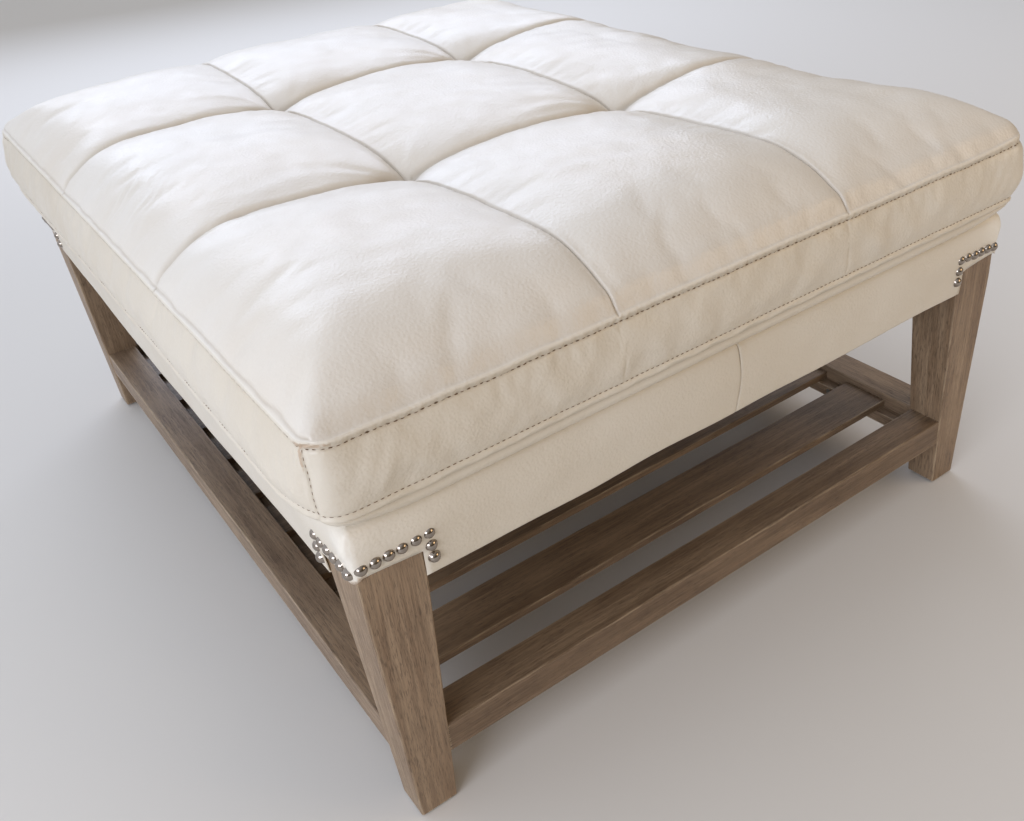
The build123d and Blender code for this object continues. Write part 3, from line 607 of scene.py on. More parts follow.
def tuft_folds(x, y):
    """Soft folds that fan out from the four tufts into the panels."""
    total = 0
    for i, (tuft_x, tuft_y) in enumerate(tufts):
        dx, dy = x - tuft_x, y - tuft_y
        far, turn = np.hypot(dx, dy), np.arctan2(dy, dx)
        bend = turn + 0.25 * np.sin(far / fold_sway + i)
        waves = np.sin(13 * bend + 1.7 * i) + 0.6 * np.sin(21 * bend + 2.3 + i)
        strength = sum(much * bell(far - at, width) for much, at, width in fold_rings)
        total = total + waves * strength * (0.35 + 0.9 * bell(np.abs(turn) - np.pi, 0.9))
    return total


def side_wrinkles(x, y):
    """Small slanting wrinkles where the leather comes over the left side's ridge."""
    slant = (y - 0.55 * x) / wrinkle_pitch * round_turn
    return (bell(x + ridge_x - wrinkles_in, wrinkles_wide) * bell(y - wrinkles_back, wrinkles_long)
            * np.sin(slant + 2.2 * uneven(x, y, 60 * mm, 21)))


round_turn = 2 * np.pi
# Folds round a tuft come in two rings: how strong, how far out and how wide.
fold_sway, fold_rings = 60 * mm, ((0.6, 45 * mm, 24 * mm), (0.5, 105 * mm, 50 * mm))
wrinkles_in, wrinkles_wide, wrinkles_back, wrinkles_long = 44 * mm, 30 * mm, 5 * mm, 85 * mm
# Two soft dents near the right front corner: how deep, in mm, place, stretch and width.
dents = ((2.6, 385 * mm, -420 * mm, 1, 1.8, 26 * mm), (2.08, 330 * mm, -470 * mm, 1.6, 1, 22 * mm))
# One short deep pleat lies to the left of each tuft, behind the seam.
pleat_left, pleat_behind, pleat_width, pleat_stretch = 22 * mm, 8 * mm, 7 * mm, 2.4
tuft_clear, seam_clear, ridge_clear = 12 * mm, 18 * mm, 14 * mm
wrinkle_pitch, pucker_pitch, drape_pitch, corner_fold_pitch = 21 * mm, 11 * mm, 24 * mm, 19 * mm
open_leather = np.clip(from_seam / seam_clear, 0, 1) * np.clip(from_ridge / ridge_clear, 0, 1)
hills = 0.9 * uneven(x, y, 170 * mm, 5) + 0.16 * uneven(x, y, 48 * mm, 8)
folds = 0.6 * tuft_folds(x, y) + 0.9 * side_wrinkles(x, y) - sum(
    deep * bell(np.hypot((x - dent_x) / stretch_x, (y - dent_y) / stretch_y), width)
    for deep, dent_x, dent_y, stretch_x, stretch_y, width in dents)
pleats = sum(bell(np.hypot((x - tuft_x + pleat_left) / pleat_stretch, y - tuft_y - pleat_behind),
                  pleat_width) for tuft_x, tuft_y in tufts)
print("hills and folds up to", round(float(np.abs(hills + folds).max()), 1), "mm")

# %% Seams of the top: creases, rolls and troughs, in millimetres out of the leather
# A seam's distance is positive on its rolled side: to the right, or to the front.
signed_x, signed_y = np.abs(x) - ridge_x / panel_count, np.abs(y) - ridge_y / panel_count
along_y = np.abs(signed_x) < np.abs(signed_y)
seam_way = np.where(along_y, signed_x * np.sign(x), -signed_y * np.sign(y))
crease_width, roll_place, roll_end = 1.2 * mm, 2.2 * mm, 9 * mm
trough_place, trough_width, deep_trough = 4.3 * mm, 4 * mm, 3.1
clear_of_tuft = 1 - bell(from_tuft, tuft_clear)
reach = clear_of_tuft * np.clip(from_ridge / roll_end, 0, 1)
crease = -1.3 * bell(from_seam, crease_width) * (0.5 + 0.5 * clear_of_tuft)
# The roll stands up sharply beside the seam and runs out softly on its other side.
roll_width = np.where(seam_way < roll_place, 1.4, np.where(along_y, 4.5, 2.0)) * mm
roll = np.where(along_y, 1.05, 0.85) * bell(seam_way - roll_place, roll_width) * reach
trough = np.where(along_y, 0.6, deep_trough) * bell(seam_way + trough_place, trough_width) * reach
# On the left the edge seam has slipped onto the top; elsewhere it sits at the ridge itself.
slip_in, slip_sway, mitre, bead_width, slip_width = 2.8 * mm, 0.5 * mm, 2 * mm, 0.9 * mm, 1.1 * mm
shoulder_in, shoulder_width = 13 * mm, 8 * mm
at_left = ease(in_y - (x + ridge_x), -mitre, mitre) * (x < 0)
edge_line = slip_in + slip_sway * uneven(x, y, 45 * mm, 27)
edge_seam = (0.95 * (1 - at_left) * bell(from_ridge - 0.2 * mm, bead_width)
             - 1.2 * at_left * bell(from_ridge - edge_line, slip_width)
             + (2 - 1.1 * at_left) * bell(from_ridge - shoulder_in, shoulder_width))
top_move = crease + roll - trough + edge_seam - 3.5 * pleats + open_leather * (hills + folds)
print("top moves", round(float(top_move.min()), 1), "to", round(float(top_move.max()), 1), "mm")

# %% Puckers and drape of the border, in millimetres out of the leather
run = np.where(in_x < in_y, y, x)
upper_row, lower_row = stitch_drops
hem_blend, hem_past_row, groove_width = 3 * mm, 2 * mm, 0.9 * mm
drape_drop, drape_width, hills_drop, hills_width = 18 * mm, 9 * mm, 40 * mm, 26 * mm
corner_folds_in, corner_folds_wide = 55 * mm, 38 * mm
hem = np.clip(drop / hem_blend, 0, 1) * np.clip((upper_row + hem_past_row - drop) / hem_blend, 0, 1)
puckers = 0.65 * np.sin(run / pucker_pitch * round_turn + 3 * uneven(run, drop, 70 * mm, 12))
drape = 0.5 * np.sin(run / drape_pitch * round_turn + 4 * uneven(run, 0.5 * drop, 110 * mm, 13))
drape = drape * bell(drop - drape_drop, drape_width) * (0.5 + 0.5 * uneven(run, 0 * drop, 200 * mm, 14))
side_hills = 1.1 * uneven(run + 3 * x, 2.2 * drop, 120 * mm, 15)
side_hills = side_hills + 0.35 * uneven(run, 1.5 * drop, 40 * mm, 16)
corner_folds = 0.5 * np.sin((run + 0.5 * drop) / corner_fold_pitch * round_turn)
side_hills = side_hills + corner_folds * bell(to_corner - corner_folds_in, corner_folds_wide)
grooves = 0.8 * bell(drop - upper_row, groove_width) + 0.7 * bell(drop - lower_row, groove_width)
side_move = hem * puckers + drape + bell(drop - hills_drop, hills_width) * side_hills - grooves

place += way * ((top_share * top_move + side_share * side_move) * mm)[:, None]
fine.vertices.foreach_set("co", place.ravel())
print("border moves", round(float(side_move.min()), 1), "to", round(float(side_move.max()), 1), "mm")

# %% Painted shade in the seams and creases, worn finish, and painted highlights on folds


def mark(mesh, **layers):
    """Keeps values from 0 to 1 at the points of a mesh, one attribute for each name."""
    for name, values in layers.items():
        values = np.clip(np.asarray(values, float).ravel(), 0, 1).astype(np.float32)
        mesh.attributes.new(name, "FLOAT", "POINT").data.foreach_set("value", values)


# Painted shade as a tan tint: along the seam lines, in the troughs beside them, in the pits and pleats at
# the tufts, near the front edge, in the stitch grooves, down the corner seams and over the hem band below
# the ridge.
seam_shade, tuft_shade, edge_shade, front_shade = 1.6 * mm, 16 * mm, 1 * mm, 16 * mm
row_shade, corner_shade, lip_start, lip_end = 1.2 * mm, 2.5 * mm, (1.2 * mm, 3 * mm), (6.5 * mm, 8 * mm)
top_shade = (0.75 * np.exp(-from_seam / seam_shade) + 0.35 * bell(from_tuft, tuft_shade)
            + 0.6 * at_left * bell(from_ridge - edge_line, edge_shade) + 0.55 * trough / deep_trough
            + 0.7 * pleats + 0.3 * bell(y + ridge_y, front_shade))
border_shade = (0.55 * bell(drop - lower_seam_drop, seam_shade) + 0.3 * bell(drop - upper_row, row_shade)
               + 0.35 * bell(to_corner, corner_shade)
               + 0.3 * ease(drop, *lip_start) * (1 - ease(drop, *lip_end)))
# The finish is worn off round the near corner and down its seam, and a little along the ridge.
corner_wear_in, corner_wear_wide, corner_wear_drop, corner_wear_tall = 6 * mm, 20 * mm, 4 * mm, 3 * mm
seam_wear_in, seam_wear_wide, seam_wear_start, seam_wear_end = (
    2.5 * mm, 2.6 * mm, (1 * mm, 4 * mm), (20 * mm, 44 * mm))
ridge_wear_wide, ridge_wear_tall, highlight_in, highlight_width = 2 * mm, 4 * mm, 0.1 * mm, 0.85 * mm
near_corner = bell(np.hypot(x + ridge_x, y + ridge_y) - corner_wear_in, corner_wear_wide)
near_seam = (x < -ridge_x + touching) * bell(y + ridge_y - seam_wear_in, seam_wear_wide)
near_seam = near_seam * (1 - ease(drop, *seam_wear_end)) * ease(drop, *seam_wear_start)
wear = (1.1 * side_share * near_corner * bell(drop - corner_wear_drop, corner_wear_tall)
        + 0.95 * near_seam + 0.2 * bell(from_ridge, ridge_wear_wide) * bell(drop, ridge_wear_tall))
# A painted highlight as a pale tint along the folded ridge, weaker on the left.
rubbed = (1 - 0.6 * at_left) * bell(np.hypot(from_ridge - highlight_in, drop), highlight_width)
mark(fine, seam=top_share * top_shade + side_share * border_shade, wear=wear, rubbed=rubbed)
print("worn points:", int((wear > 0.5).sum()), "rubbed points:", int((rubbed > 0.5).sum()))

# %% Close the underside and hand the cushion over
shell = bmesh.new()
shell.from_mesh(fine)
open_edges = [e for e in shell.edges if e.is_boundary]
closed = bmesh.ops.holes_fill(shell, edges=open_edges, sides=0)
for face in closed["faces"]:
    face.material_index = 2
    face.smooth = False
bmesh.ops.recalc_face_normals(shell, faces=closed["faces"])
shell.to_mesh(fine)
shell.free()
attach(cushion, body)
cushion_nodes = [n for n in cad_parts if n.startswith(("top_panel", "cushion_", "fibre"))]
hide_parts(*cushion_nodes)
print("cushion:", len(fine.vertices), "points; stands for", len(cushion_nodes), "nodes")

# %% [markdown]
# ## Stitching
# Waxed brown thread, about 4 stitches to the inch, runs round the border below the ridge
# and again above the lower seam, and closes the four corner seams. Every stitch is the
# same short bead of thread lying in a small dimple. Hundreds of equal things along a
# line are what Geometry Nodes are for: the line is resampled at the stitch pitch, and
# each point gets a bead turned along the line and away from the leather.

# %% A node tree that stitches along a line


def tree_with(name, sockets):
    """An empty Geometry Nodes tree with named inputs: (name, kind, default)."""
    tree = bpy.data.node_groups.new(name, "GeometryNodeTree")
    for label, kind, default in [("Geometry", "Geometry", None), *sockets]:
        socket = tree.interface.new_socket(label, in_out="INPUT", socket_type="NodeSocket" + kind)
        if default is not None:
            socket.default_value = default
    tree.interface.new_socket("Geometry", in_out="OUTPUT", socket_type="NodeSocketGeometry")
    return tree, add(tree, "NodeGroupInput").outputs


def copies(tree, given, points, shape, turn, least, most):
    """The end of every tree here: a copy on each point, leaning a little, as real smooth faces."""
    lean = add(tree, "FunctionNodeRandomValue", {0: least, 1: most, "Seed": given["Seed"]},
               data_type="FLOAT_VECTOR")
    leaning = add(tree, "FunctionNodeEulerToRotation", {"Euler": lean})
    swayed = add(tree, "FunctionNodeRotateRotation", {"Rotation": turn, "Rotate By": leaning},
                 rotation_space="LOCAL")
    placed = add(tree, "GeometryNodeInstanceOnPoints",
                 {"Points": points, "Instance": shape, "Rotation": swayed})
    real = add(tree, "GeometryNodeRealizeInstances", {"Geometry": placed})
    smoothed = add(tree, "GeometryNodeSetShadeSmooth", {"Geometry": real})
    dressed = add(tree, "GeometryNodeSetMaterial",
                  {"Geometry": smoothed, "Material": given["Material"]})
    add(tree, "NodeGroupOutput", {"Geometry": dressed})


stitches, given = tree_with("stitches_along_a_line", [
    ("Pitch", "Float", 6.3 * mm), ("Stitch length", "Float", 3.9 * mm),
    ("Thread", "Float", 1.1 * mm), ("Seed", "Int", 4), ("Material", "Material", None)])
line = add(stitches, "GeometryNodeMeshToCurve", {"Mesh": given["Geometry"]})
spaced = add(stitches, "GeometryNodeResampleCurve", {"Curve": line, "Length": given["Pitch"]},
             mode="LENGTH")
bead = add(stitches, "GeometryNodeMeshUVSphere", {"Segments": 7, "Rings": 5, "Radius": 0.5})
size = add(stitches, "ShaderNodeCombineXYZ",
           {"X": given["Stitch length"], "Y": given["Thread"], "Z": given["Thread"]})
thread = add(stitches, "GeometryNodeTransform", {"Geometry": bead, "Scale": size})
heading = add(stitches, "GeometryNodeInputTangent")
away = add(stitches, "GeometryNodeInputNamedAttribute", {"Name": "outward"}, data_type="FLOAT_VECTOR")
lengthways = add(stitches, "FunctionNodeAlignRotationToVector", {"Vector": heading}, axis="X")
upright = add(stitches, "FunctionNodeAlignRotationToVector",
              {"Rotation": lengthways, "Vector": away}, axis="Z", pivot_axis="X")
stitch_lean = Vector((0, 0.05, 0.07))
copies(stitches, given, spaced, thread, upright, -stitch_lean, stitch_lean)
print("stitch tree:", len(stitches.nodes), "nodes")

# %% Thread, and the lines that it follows


def plain(name, low, high, grain, roughness, dull=None, metallic=0.0, bump=0.0, detail=4.0):
    """A finish of two close colours with a fine grain. With dull, the roughness varies too."""
    material, tree, shader = blank(name)
    where = add(tree, "ShaderNodeTexCoord").outputs["Object"]
    noise = add(tree, "ShaderNodeTexNoise", {"Vector": where, "Scale": 1 / grain, "Detail": detail})
    if dull:
        roughness = add(tree, "ShaderNodeMapRange",
                        {"Value": noise, "To Min": roughness, "To Max": dull})
    tone = add(tree, "ShaderNodeMix", {0: noise, 6: paint(low), 7: paint(high)}, data_type="RGBA")
    feed(shader, {"Base Color": tone, "Roughness": roughness, "Metallic": metallic})
    if bump:
        relief = add(tree, "ShaderNodeBump", {"Height": noise, "Strength": 0.5, "Distance": bump})
        feed(shader, {"Normal": relief})
    return material


def grow(piece, tree, **inputs):
    """Runs a node tree on a piece and keeps the result as its plain mesh."""
    modifier = piece.modifiers.new(tree.name, "NODES")
    modifier.node_group = tree
    for item in tree.interface.items_tree:
        label = item.name.lower().replace(" ", "_")
        if item.item_type == "SOCKET" and item.in_out == "INPUT" and label in inputs:
            modifier[item.identifier] = inputs[label]
    baked(piece).name = piece.name


def line_piece(name, lines, closed):
    """Lines of edges, each (points, ways out of the leather), kept in one mesh."""
    points, ways, edges = [], [], []
    for line_points, line_ways in lines:
        start, count = len(points), len(line_points)
        edges += [(start + i, start + (i + 1) % count) for i in range(count if closed else count - 1)]
        points += list(line_points)
        ways += list(line_ways)
    piece = new_piece(name, points, (), edges=edges)
    give_vectors(piece.data, "outward", ways)
    return piece


# Three twisted strands of waxed polyester: they show as slanting bands about 1 mm apart.
thread_paint = plain("waxed_brown_polyester_thread", "4A3726", "8B7052", 1.2 * mm, 0.55, detail=2.0)

place, way = vectors(fine.vertices, "co"), vectors(fine.vertex_normals, "vector")
thread_rise = 0.1 * mm


def ring_points(level):
    """Numbers of the points of one ring of the cover."""
    return columns * rows + level * len(ring) + np.arange(len(ring))


def lifted(numbers):
    """The points of the cover with these numbers, just clear of it, and the way out."""
    return place[numbers] + thread_rise * way[numbers], way[numbers]


ring_drops = [level_drop for inset, level_drop in border_rings]
upper, lower = (ring_drops.index(row / mm) for row in stitch_drops)
corner_lines = [lifted(np.array([ring_points(k)[c] for k in range(upper + 2, lower)]))
                for c in np.flatnonzero(corner_gap < 0.1 * mm)]
for label, lines, closed, thread_size, seed in (
        ("cushion_upper_stitches", [lifted(ring_points(upper))], True, 1.25 * mm, 4),
        ("cushion_lower_stitches", [lifted(ring_points(lower))], True, 1.0 * mm, 9),
        ("cushion_corner_stitches", corner_lines, False, 0.8 * mm, 6)):
    seam_thread = line_piece(label, lines, closed)
    grow(seam_thread, stitches, thread=thread_size, seed=seed, material=thread_paint)
    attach(seam_thread, body)
    print(label, len(seam_thread.data.polygons), "faces")

# %% [markdown]
# ## Apron: leather over the seat frame
# The seat frame wears the same leather: wrapped over the top and under the bottom edge,
# cut out round the leg tops, and seamed in the middle of the front and the back. It is
# softer than the wood under it, so its corners are rounder, it puffs a little between
# the nails and its cut edge shows the raw hide. It could be a box with a bevel, but the
# cut-outs and the puff need rows and columns of their own, so the strip is laid out in
# columns round the frame, and Solidify gives it the thickness of leather.

# %% Sizes of the apron, read from the frame
apron_low, apron_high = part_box("apron_cover_left")
apron_x, apron_y = -apron_low.x, -apron_low.y
apron_bottom, apron_top = apron_low.z, apron_high.z
leg_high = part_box("leg_front_left")[1]
leg_in_x, leg_in_y = -leg_high.x, -leg_high.y
leather_thickness = 1.5 * mm
front_cut, side_cut = apron_bottom + 33.5 * mm, apron_bottom + 28.5 * mm
cut_overlap, cut_slope, corner_tip = 1.3 * mm, 2.3 * mm, 1.5 * mm
apron_corner, apron_round = 6.5 * mm, 11 * mm
corner_arc_steps, round_steps = 10, 6
# How the leather lies: swollen at the corners and on the left, bowed at its seam, slack below.
swell_reach, swell_place, swell_width, left_reach = 24 * mm, 378 * mm, 15 * mm, 330 * mm
seam_groove, seam_roll, seam_roll_width, seam_bow, bow_reach = 1 * mm, 3 * mm, 2 * mm, 5.5 * mm, 40 * mm
hem_sag, highlight_reach, wear_reach, wear_width = 1.1 * mm, 110 * mm, 12 * mm, 5 * mm
print("apron:", round(apron_x, 4), round(apron_y, 4), "from", round(apron_bottom, 4))

# %% Columns round the frame, and rows up a column


def apron_columns():
    """Columns of the right half, front middle to back middle: place, way out, cut height, hidden."""
    laid = []
    cuts = (front_cut, side_cut, front_cut)
    sides = (((0, -1), apron_x, apron_y, leg_in_x), ((1, 0), apron_y, apron_x, leg_in_y),
             ((0, 1), apron_x, apron_y, leg_in_x))
    for side, (out, half, face, leg_edge) in enumerate(sides):
        cut_edge, end = leg_edge + cut_overlap, half - apron_corner
        whole = np.concatenate([[0.2, 1.4, 3.5], np.linspace(7, cut_edge / mm, 58),
                                np.linspace(cut_edge / mm, end / mm, 11)[1:]]) * mm
        for run in np.concatenate([-whole[::-1]] * (side > 0) + [whole] * (side < 2)):
            slope = cut_slope * (2 * np.clip((abs(run) - cut_edge) / (end - cut_edge), 0, 1) - 1)
            spot = (face * out[0] - run * out[1], face * out[1] + run * out[0])
            laid.append((*spot, *out, cuts[side] + slope, abs(run) > cut_edge + 1e-6))
        corner_shares = np.arange(1, corner_arc_steps) / corner_arc_steps if side < 2 else ()
        for share in corner_shares:
            turn = (side - 1 + share) * math.pi / 2
            way = (math.cos(turn), math.sin(turn))
            spot = (apron_x - apron_corner + apron_corner * way[0],
                    (2 * side - 1) * (apron_y - apron_corner) + apron_corner * way[1])
            cut = cuts[side] + share * (cuts[side + 1] - cuts[side])
            laid.append((*spot, *way, cut + cut_slope - corner_tip * math.sin(math.pi * share), True))
    return np.array(laid).T


def apron_rows(cut):
    """Rows of one column, bottom to top: how far in from the face, height."""
    low = [(16, 0.1), (9, 0), (3, 0), (1, 0.5), (0.2, 1.6)]
    rows = [(inset * mm, apron_bottom + rise * mm) for inset, rise in low]
    rows += [(0, z) for z in np.linspace(apron_bottom + 3.4 * mm, cut, 5)]
    rows += [(0, z) for z in np.linspace(cut, apron_top - apron_round, 12)[1:]]
    for turn in np.arange(1, round_steps + 1) / round_steps * math.pi / 2:
        rows.append((apron_round * (1 - math.cos(turn)), apron_top - apron_round * (1 - math.sin(turn))))
    return rows + [(17 * mm, apron_top), (26 * mm, apron_top)]


*half_columns, column_hidden = apron_columns()
laid_rows = np.array([apron_rows(cut) for cut in half_columns[4]])
cut_row = 9
kept = (column_hidden[:, None] == 0) | (np.arange(laid_rows.shape[1]) >= cut_row)
print("apron:", laid_rows.shape[0], "columns and", laid_rows.shape[1], "rows on each half")

# %% The two leathers of the apron
# The cut edge shows the hide under the finish: pale, fibrous and quite matt.
raw_edge = plain("raw_leather_edge", "CFC3AC", "F3EEE2", 0.8 * mm, 0.85)


def shaped(sign):
    """Points of one half, and its three marks. The left half is the right one turned round."""
    x, y, out_x, out_y, cut = (column[:, None] for column in half_columns)
    x, y, out_x, out_y = sign * x, sign * y, sign * out_x, sign * out_y
    inset, z = laid_rows[:, :, 0], laid_rows[:, :, 1]
    up = np.clip((z - apron_bottom) / (apron_top - apron_bottom), 0, 1)
    belly = np.sin(np.pi * up)
    run = np.where(np.abs(out_y) > np.abs(out_x), x, y)
    from_middle, from_corner = np.abs(x), np.hypot(np.abs(x) - apron_x, np.abs(y) - apron_y)
    near_corner = bell(from_corner, swell_reach)
    # The puff, in millimetres: full in the middle, more at the corners and on the left side.
    puff_out = 2.6 * np.sin(np.pi * up ** 1.35) ** 0.8 * (1 - 0.4 * near_corner)
    puff_out = puff_out + near_corner * (3.2 * bell(z - swell_place, swell_width) + 2.4 * (1 - up))
    puff_out += 4 * (out_x < -0.7) * (1 - 0.6 * up) * bell(y, left_reach)
    puff_out += 0.55 * uneven(run + 2 * sign, z * 2.2, 95 * mm, 31) * belly
    puff_out += 0.22 * uneven(run * 1.3, z, 26 * mm, 33) * (0.3 + near_corner)
    # The middle seam: a groove, a roll to its right, and a bow in its line.
    puff_out += 0.7 * bell(x - seam_roll, seam_roll_width) * up - 0.7 * np.exp(-from_middle / seam_groove)
    bow = seam_bow * belly * np.exp(-from_middle / bow_reach) * np.sign(-y) * (np.abs(out_y) > 0.5)
    sag = hem_sag * (1 - up) * (0.4 + uneven(run, 0 * z, 170 * mm, 35)) * (inset < 2 * mm)
    stand_in = inset - puff_out * mm
    place = np.stack([x - out_x * stand_in + bow, y - out_y * stand_in,
                      z - sag * (column_hidden[:, None] == 0)], -1)
    # Painted shade as a tan tint in the middle seam's groove and along the top, where the apron goes under
    # the cushion.
    seam = 0.5 * np.exp(-from_middle / (1.2 * mm)) + 0.25 * bell(up - 1, 0.1)
    wear = bell(z - cut, wear_width) * (0.2 + bell(from_corner, wear_reach))
    # A painted highlight as a pale tint round the puffed corners, strongest near the top.
    rubbed = (0.9 * near_corner * (0.4 + 0.6 * up)
              + 0.5 * bell(from_corner, highlight_reach) * bell(up - 0.8, 0.3))
    return place[kept], {"seam": seam[kept], "wear": wear[kept], "rubbed": rubbed[kept]}


strips = squares(kept).tolist()
for name, sign, node in (("apron_leather_right", 1, "apron_cover_right"),
                         ("apron_leather_left", -1, "apron_cover_left")):
    points, marks = shaped(sign)
    piece = new_piece(name, points, strips, shaded_side_leather, raw_edge)
    mark(piece.data, **marks)
    wall = piece.modifiers.new("hide", "SOLIDIFY")
    wall.thickness = leather_thickness
    wall.offset = -1
    wall.material_offset_rim = 1
    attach(piece, body)
    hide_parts(node)
    print(name, len(points), "points,", len(strips), "faces")

# %% [markdown]
# ## Nails
# Along every cut-out stand domed upholstery nails, pressed from steel sheet and plated
# with bright nickel: six across and two more down. A person with a hammer set them, so
# they touch, wander and lean a little. One head is turned from a profile, and a node
# tree sets a copy on each point, square to the leather with a small lean of its own.

# %% One nail of nickel
# Pressed and plated steel: a mirror with faint polishing haze. Its base colour is darker and browner than
# nickel: painted shade, for the dark room that the real nails reflect.
nickel = plain("polished_nickel_plate", "8E857C", "B0A79D", 3.5 * mm, 0.06, dull=0.2, metallic=1.0)
# Radius and height in mm, from the top of the dome to the point of the shank.
nail_profile = [(0, 5.9), (1.4, 5.75), (2.75, 5.3), (4.0, 4.5), (5.0, 3.4), (5.75, 2.1), (6.15, 0.9),
                (6.5, 0.4), (6.5, -0.1), (0.9, -0.1), (0.9, -8.0), (0, -9.5)]
nail_turns = 22


def turned(name, profile, turns, *materials):
    """A closed shape turned about Z from (radius, height) steps that start and end on the axis."""
    points = [(0, 0, profile[0][1] * mm)]
    for radius, height in profile[1:-1]:
        points += [(radius * mm * math.cos(2 * math.pi * t / turns),
                    radius * mm * math.sin(2 * math.pi * t / turns), height * mm) for t in range(turns)]
    points.append((0, 0, profile[-1][1] * mm))
    faces = []
    levels = range(1, 1 + (len(profile) - 2) * turns, turns)
    for t in range(turns):
        after = (t + 1) % turns
        faces.append((0, 1 + t, 1 + after))
        faces += [(a + t, a + turns + t, a + turns + after, a + after) for a in levels[:-1]]
        faces.append((levels[-1] + t, len(points) - 1, levels[-1] + after))
    return new_piece(name, points, faces, *materials)


nail = turned("one_nail", nail_profile, nail_turns, nickel)
print("one nail:", len(nail.data.polygons), "faces")

# %% The tree that sets nails on points
setting, given = tree_with("nails_on_points", [
    ("Nail", "Object", None), ("Lean", "Float", 0.07), ("Seed", "Int", 2), ("Material", "Material", None)])
head = add(setting, "GeometryNodeObjectInfo", {"Object": given["Nail"]}, transform_space="ORIGINAL")
away = add(setting, "GeometryNodeInputNamedAttribute", {"Name": "outward"}, data_type="FLOAT_VECTOR")
square = add(setting, "FunctionNodeAlignRotationToVector", {"Vector": away}, axis="Z")
most = add(setting, "ShaderNodeCombineXYZ", {"X": given["Lean"], "Y": given["Lean"], "Z": 3.0})
least = add(setting, "ShaderNodeVectorMath", {0: most, "Scale": -1.0}, operation="SCALE")
cloud = add(setting, "GeometryNodeMeshToPoints", {"Mesh": given["Geometry"]})
copies(setting, given, cloud, head.outputs["Geometry"], square, least, most)
print("nail tree:", len(setting.nodes), "nodes")

# %% Nails on all four corners
# The rows climb a little from the corner inwards, and those on the sides are set closer.
front_pitch, side_pitch, column_pitch = 13.2 * mm, 12.8 * mm, 14.2 * mm
nail_inset, row_climb, row_margin = 7.3 * mm, 0.7 * mm, 11.4 * mm
nail_stand, column_slip, hand_slip = 0.9 * mm, 0.8 * mm, 0.35 * mm
hand = np.random.default_rng(7)
spots, ways = [], []
for sx, sy in ((-1, -1), (1, -1), (-1, 1), (1, 1)):
    for nail_number in range(8):
        in_row, down = min(nail_number, 5), max(nail_number - 5, 0)
        for on_front, pitch, cut in ((True, front_pitch, front_cut), (False, side_pitch, side_cut)):
            slip, wander = hand.normal(0, hand_slip, 2)
            inset = nail_inset + in_row * pitch + down * column_slip - slip
            z = cut + row_margin - down * column_pitch + in_row * row_climb + wander
            if on_front:
                spots.append((sx * (apron_x - inset), sy * (apron_y + nail_stand), z))
                ways.append((0, sy, 0))
            else:
                spots.append((sx * (apron_x + nail_stand), sy * (apron_y - inset), z))
                ways.append((sx, 0, 0))
nails = line_piece("nail_heads", [(spots, ways)], False)
grow(nails, setting, nail=nail, seed=2, material=nickel)
bpy.data.objects.remove(nail)
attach(nails, body)
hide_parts("decorative_nails")
print("nails:", len(spots), "faces:", len(nails.data.polygons))

# %% [markdown]
# ## Wood
# The legs, rails and slats are a coarse, open-grained hardwood, wire brushed and wiped
# with a grey stain. The brush leaves long pores that hold the dark stain, the high grain
# wears pale, and the sharp edges are rubbed light. Grain follows each piece's length, so
# the same finish is made three times, once for each direction in space.

# %% Weathered wood, with its grain along one direction
patch_grain, rubbed_edge, grain_depth = 85 * mm, 3 * mm, 0.45 * mm


def wood(name, grain, deep, middle_tone, high, roughness, pore_share=0.55, worn=0.8):
    """Open-grained wood. grain is 0, 1 or 2 for grain along X, Y or Z."""
    material, tree, shader = blank(name)
    where = add(tree, "ShaderNodeTexCoord").outputs["Object"]
    split = add(tree, "ShaderNodeSeparateXYZ", {"Vector": where})

    def stretched(along, across, detail, distortion=0.0):
        """Noise whose grains are as long and wide as given."""
        scaled = {i: add(tree, "ShaderNodeMath",
                         {0: split.outputs[(grain + i) % 3], 1: 1 / (across if i else along)},
                         operation="MULTIPLY") for i in range(3)}
        place = add(tree, "ShaderNodeCombineXYZ", scaled)
        return add(tree, "ShaderNodeTexNoise", {"Vector": place, "Scale": 1.0, "Detail": detail,
                                                "Distortion": distortion})

    bands = stretched(300 * mm, 14 * mm, 3.0, 0.6)      # growth rings, cut lengthways
    streaks = stretched(55 * mm, 2.4 * mm, 4.0)         # brushed lines
    pores = stretched(12 * mm, 0.8 * mm, 2.0)           # pores are 0.3 mm; these still show
    patches = add(tree, "ShaderNodeTexNoise", {"Vector": where, "Scale": 1 / patch_grain, "Detail": 3.0})
    # Edges that hands and shoes rub: the rounded normal leaves the true one there.
    rounded = add(tree, "ShaderNodeBevel", {"Radius": rubbed_edge}, samples=4)
    true = add(tree, "ShaderNodeNewGeometry").outputs["Normal"]
    likeness = add(tree, "ShaderNodeVectorMath", {0: rounded, 1: true}, operation="DOT_PRODUCT")
    pored, edge, rub = (
        add(tree, "ShaderNodeMapRange",
            {"Value": value, "From Min": start, "From Max": full, "To Max": most})
        for value, start, full, most in ((pores, 0.46, 0.35, pore_share), (likeness, 0.99, 0.93, 1),
                                         (streaks, 0.42, 0.6, worn)))
    rubbed = add(tree, "ShaderNodeMath", {0: edge, 1: rub}, operation="MULTIPLY")
    tone = painted(tree, middle_tone, [
        (bands, 0.34, 0.66, 1, high), (streaks, 0.66, 0.36, 0.38, deep), (pored, 0, 1, 1, deep),
        (patches, 0.4, 0.7, 0.35, high), (rubbed, 0, 1, 1, "C9B79C")])
    shine = add(tree, "ShaderNodeMapRange",
                {"Value": streaks, "To Min": roughness + 0.1, "To Max": roughness - 0.08})
    relief = add(tree, "ShaderNodeMath", {0: streaks, 1: pored}, operation="SUBTRACT")
    bump = add(tree, "ShaderNodeBump", {"Height": relief, "Strength": 0.45, "Distance": grain_depth})
    feed(shader, {"Base Color": tone, "Roughness": shine, "Normal": bump})
    return material
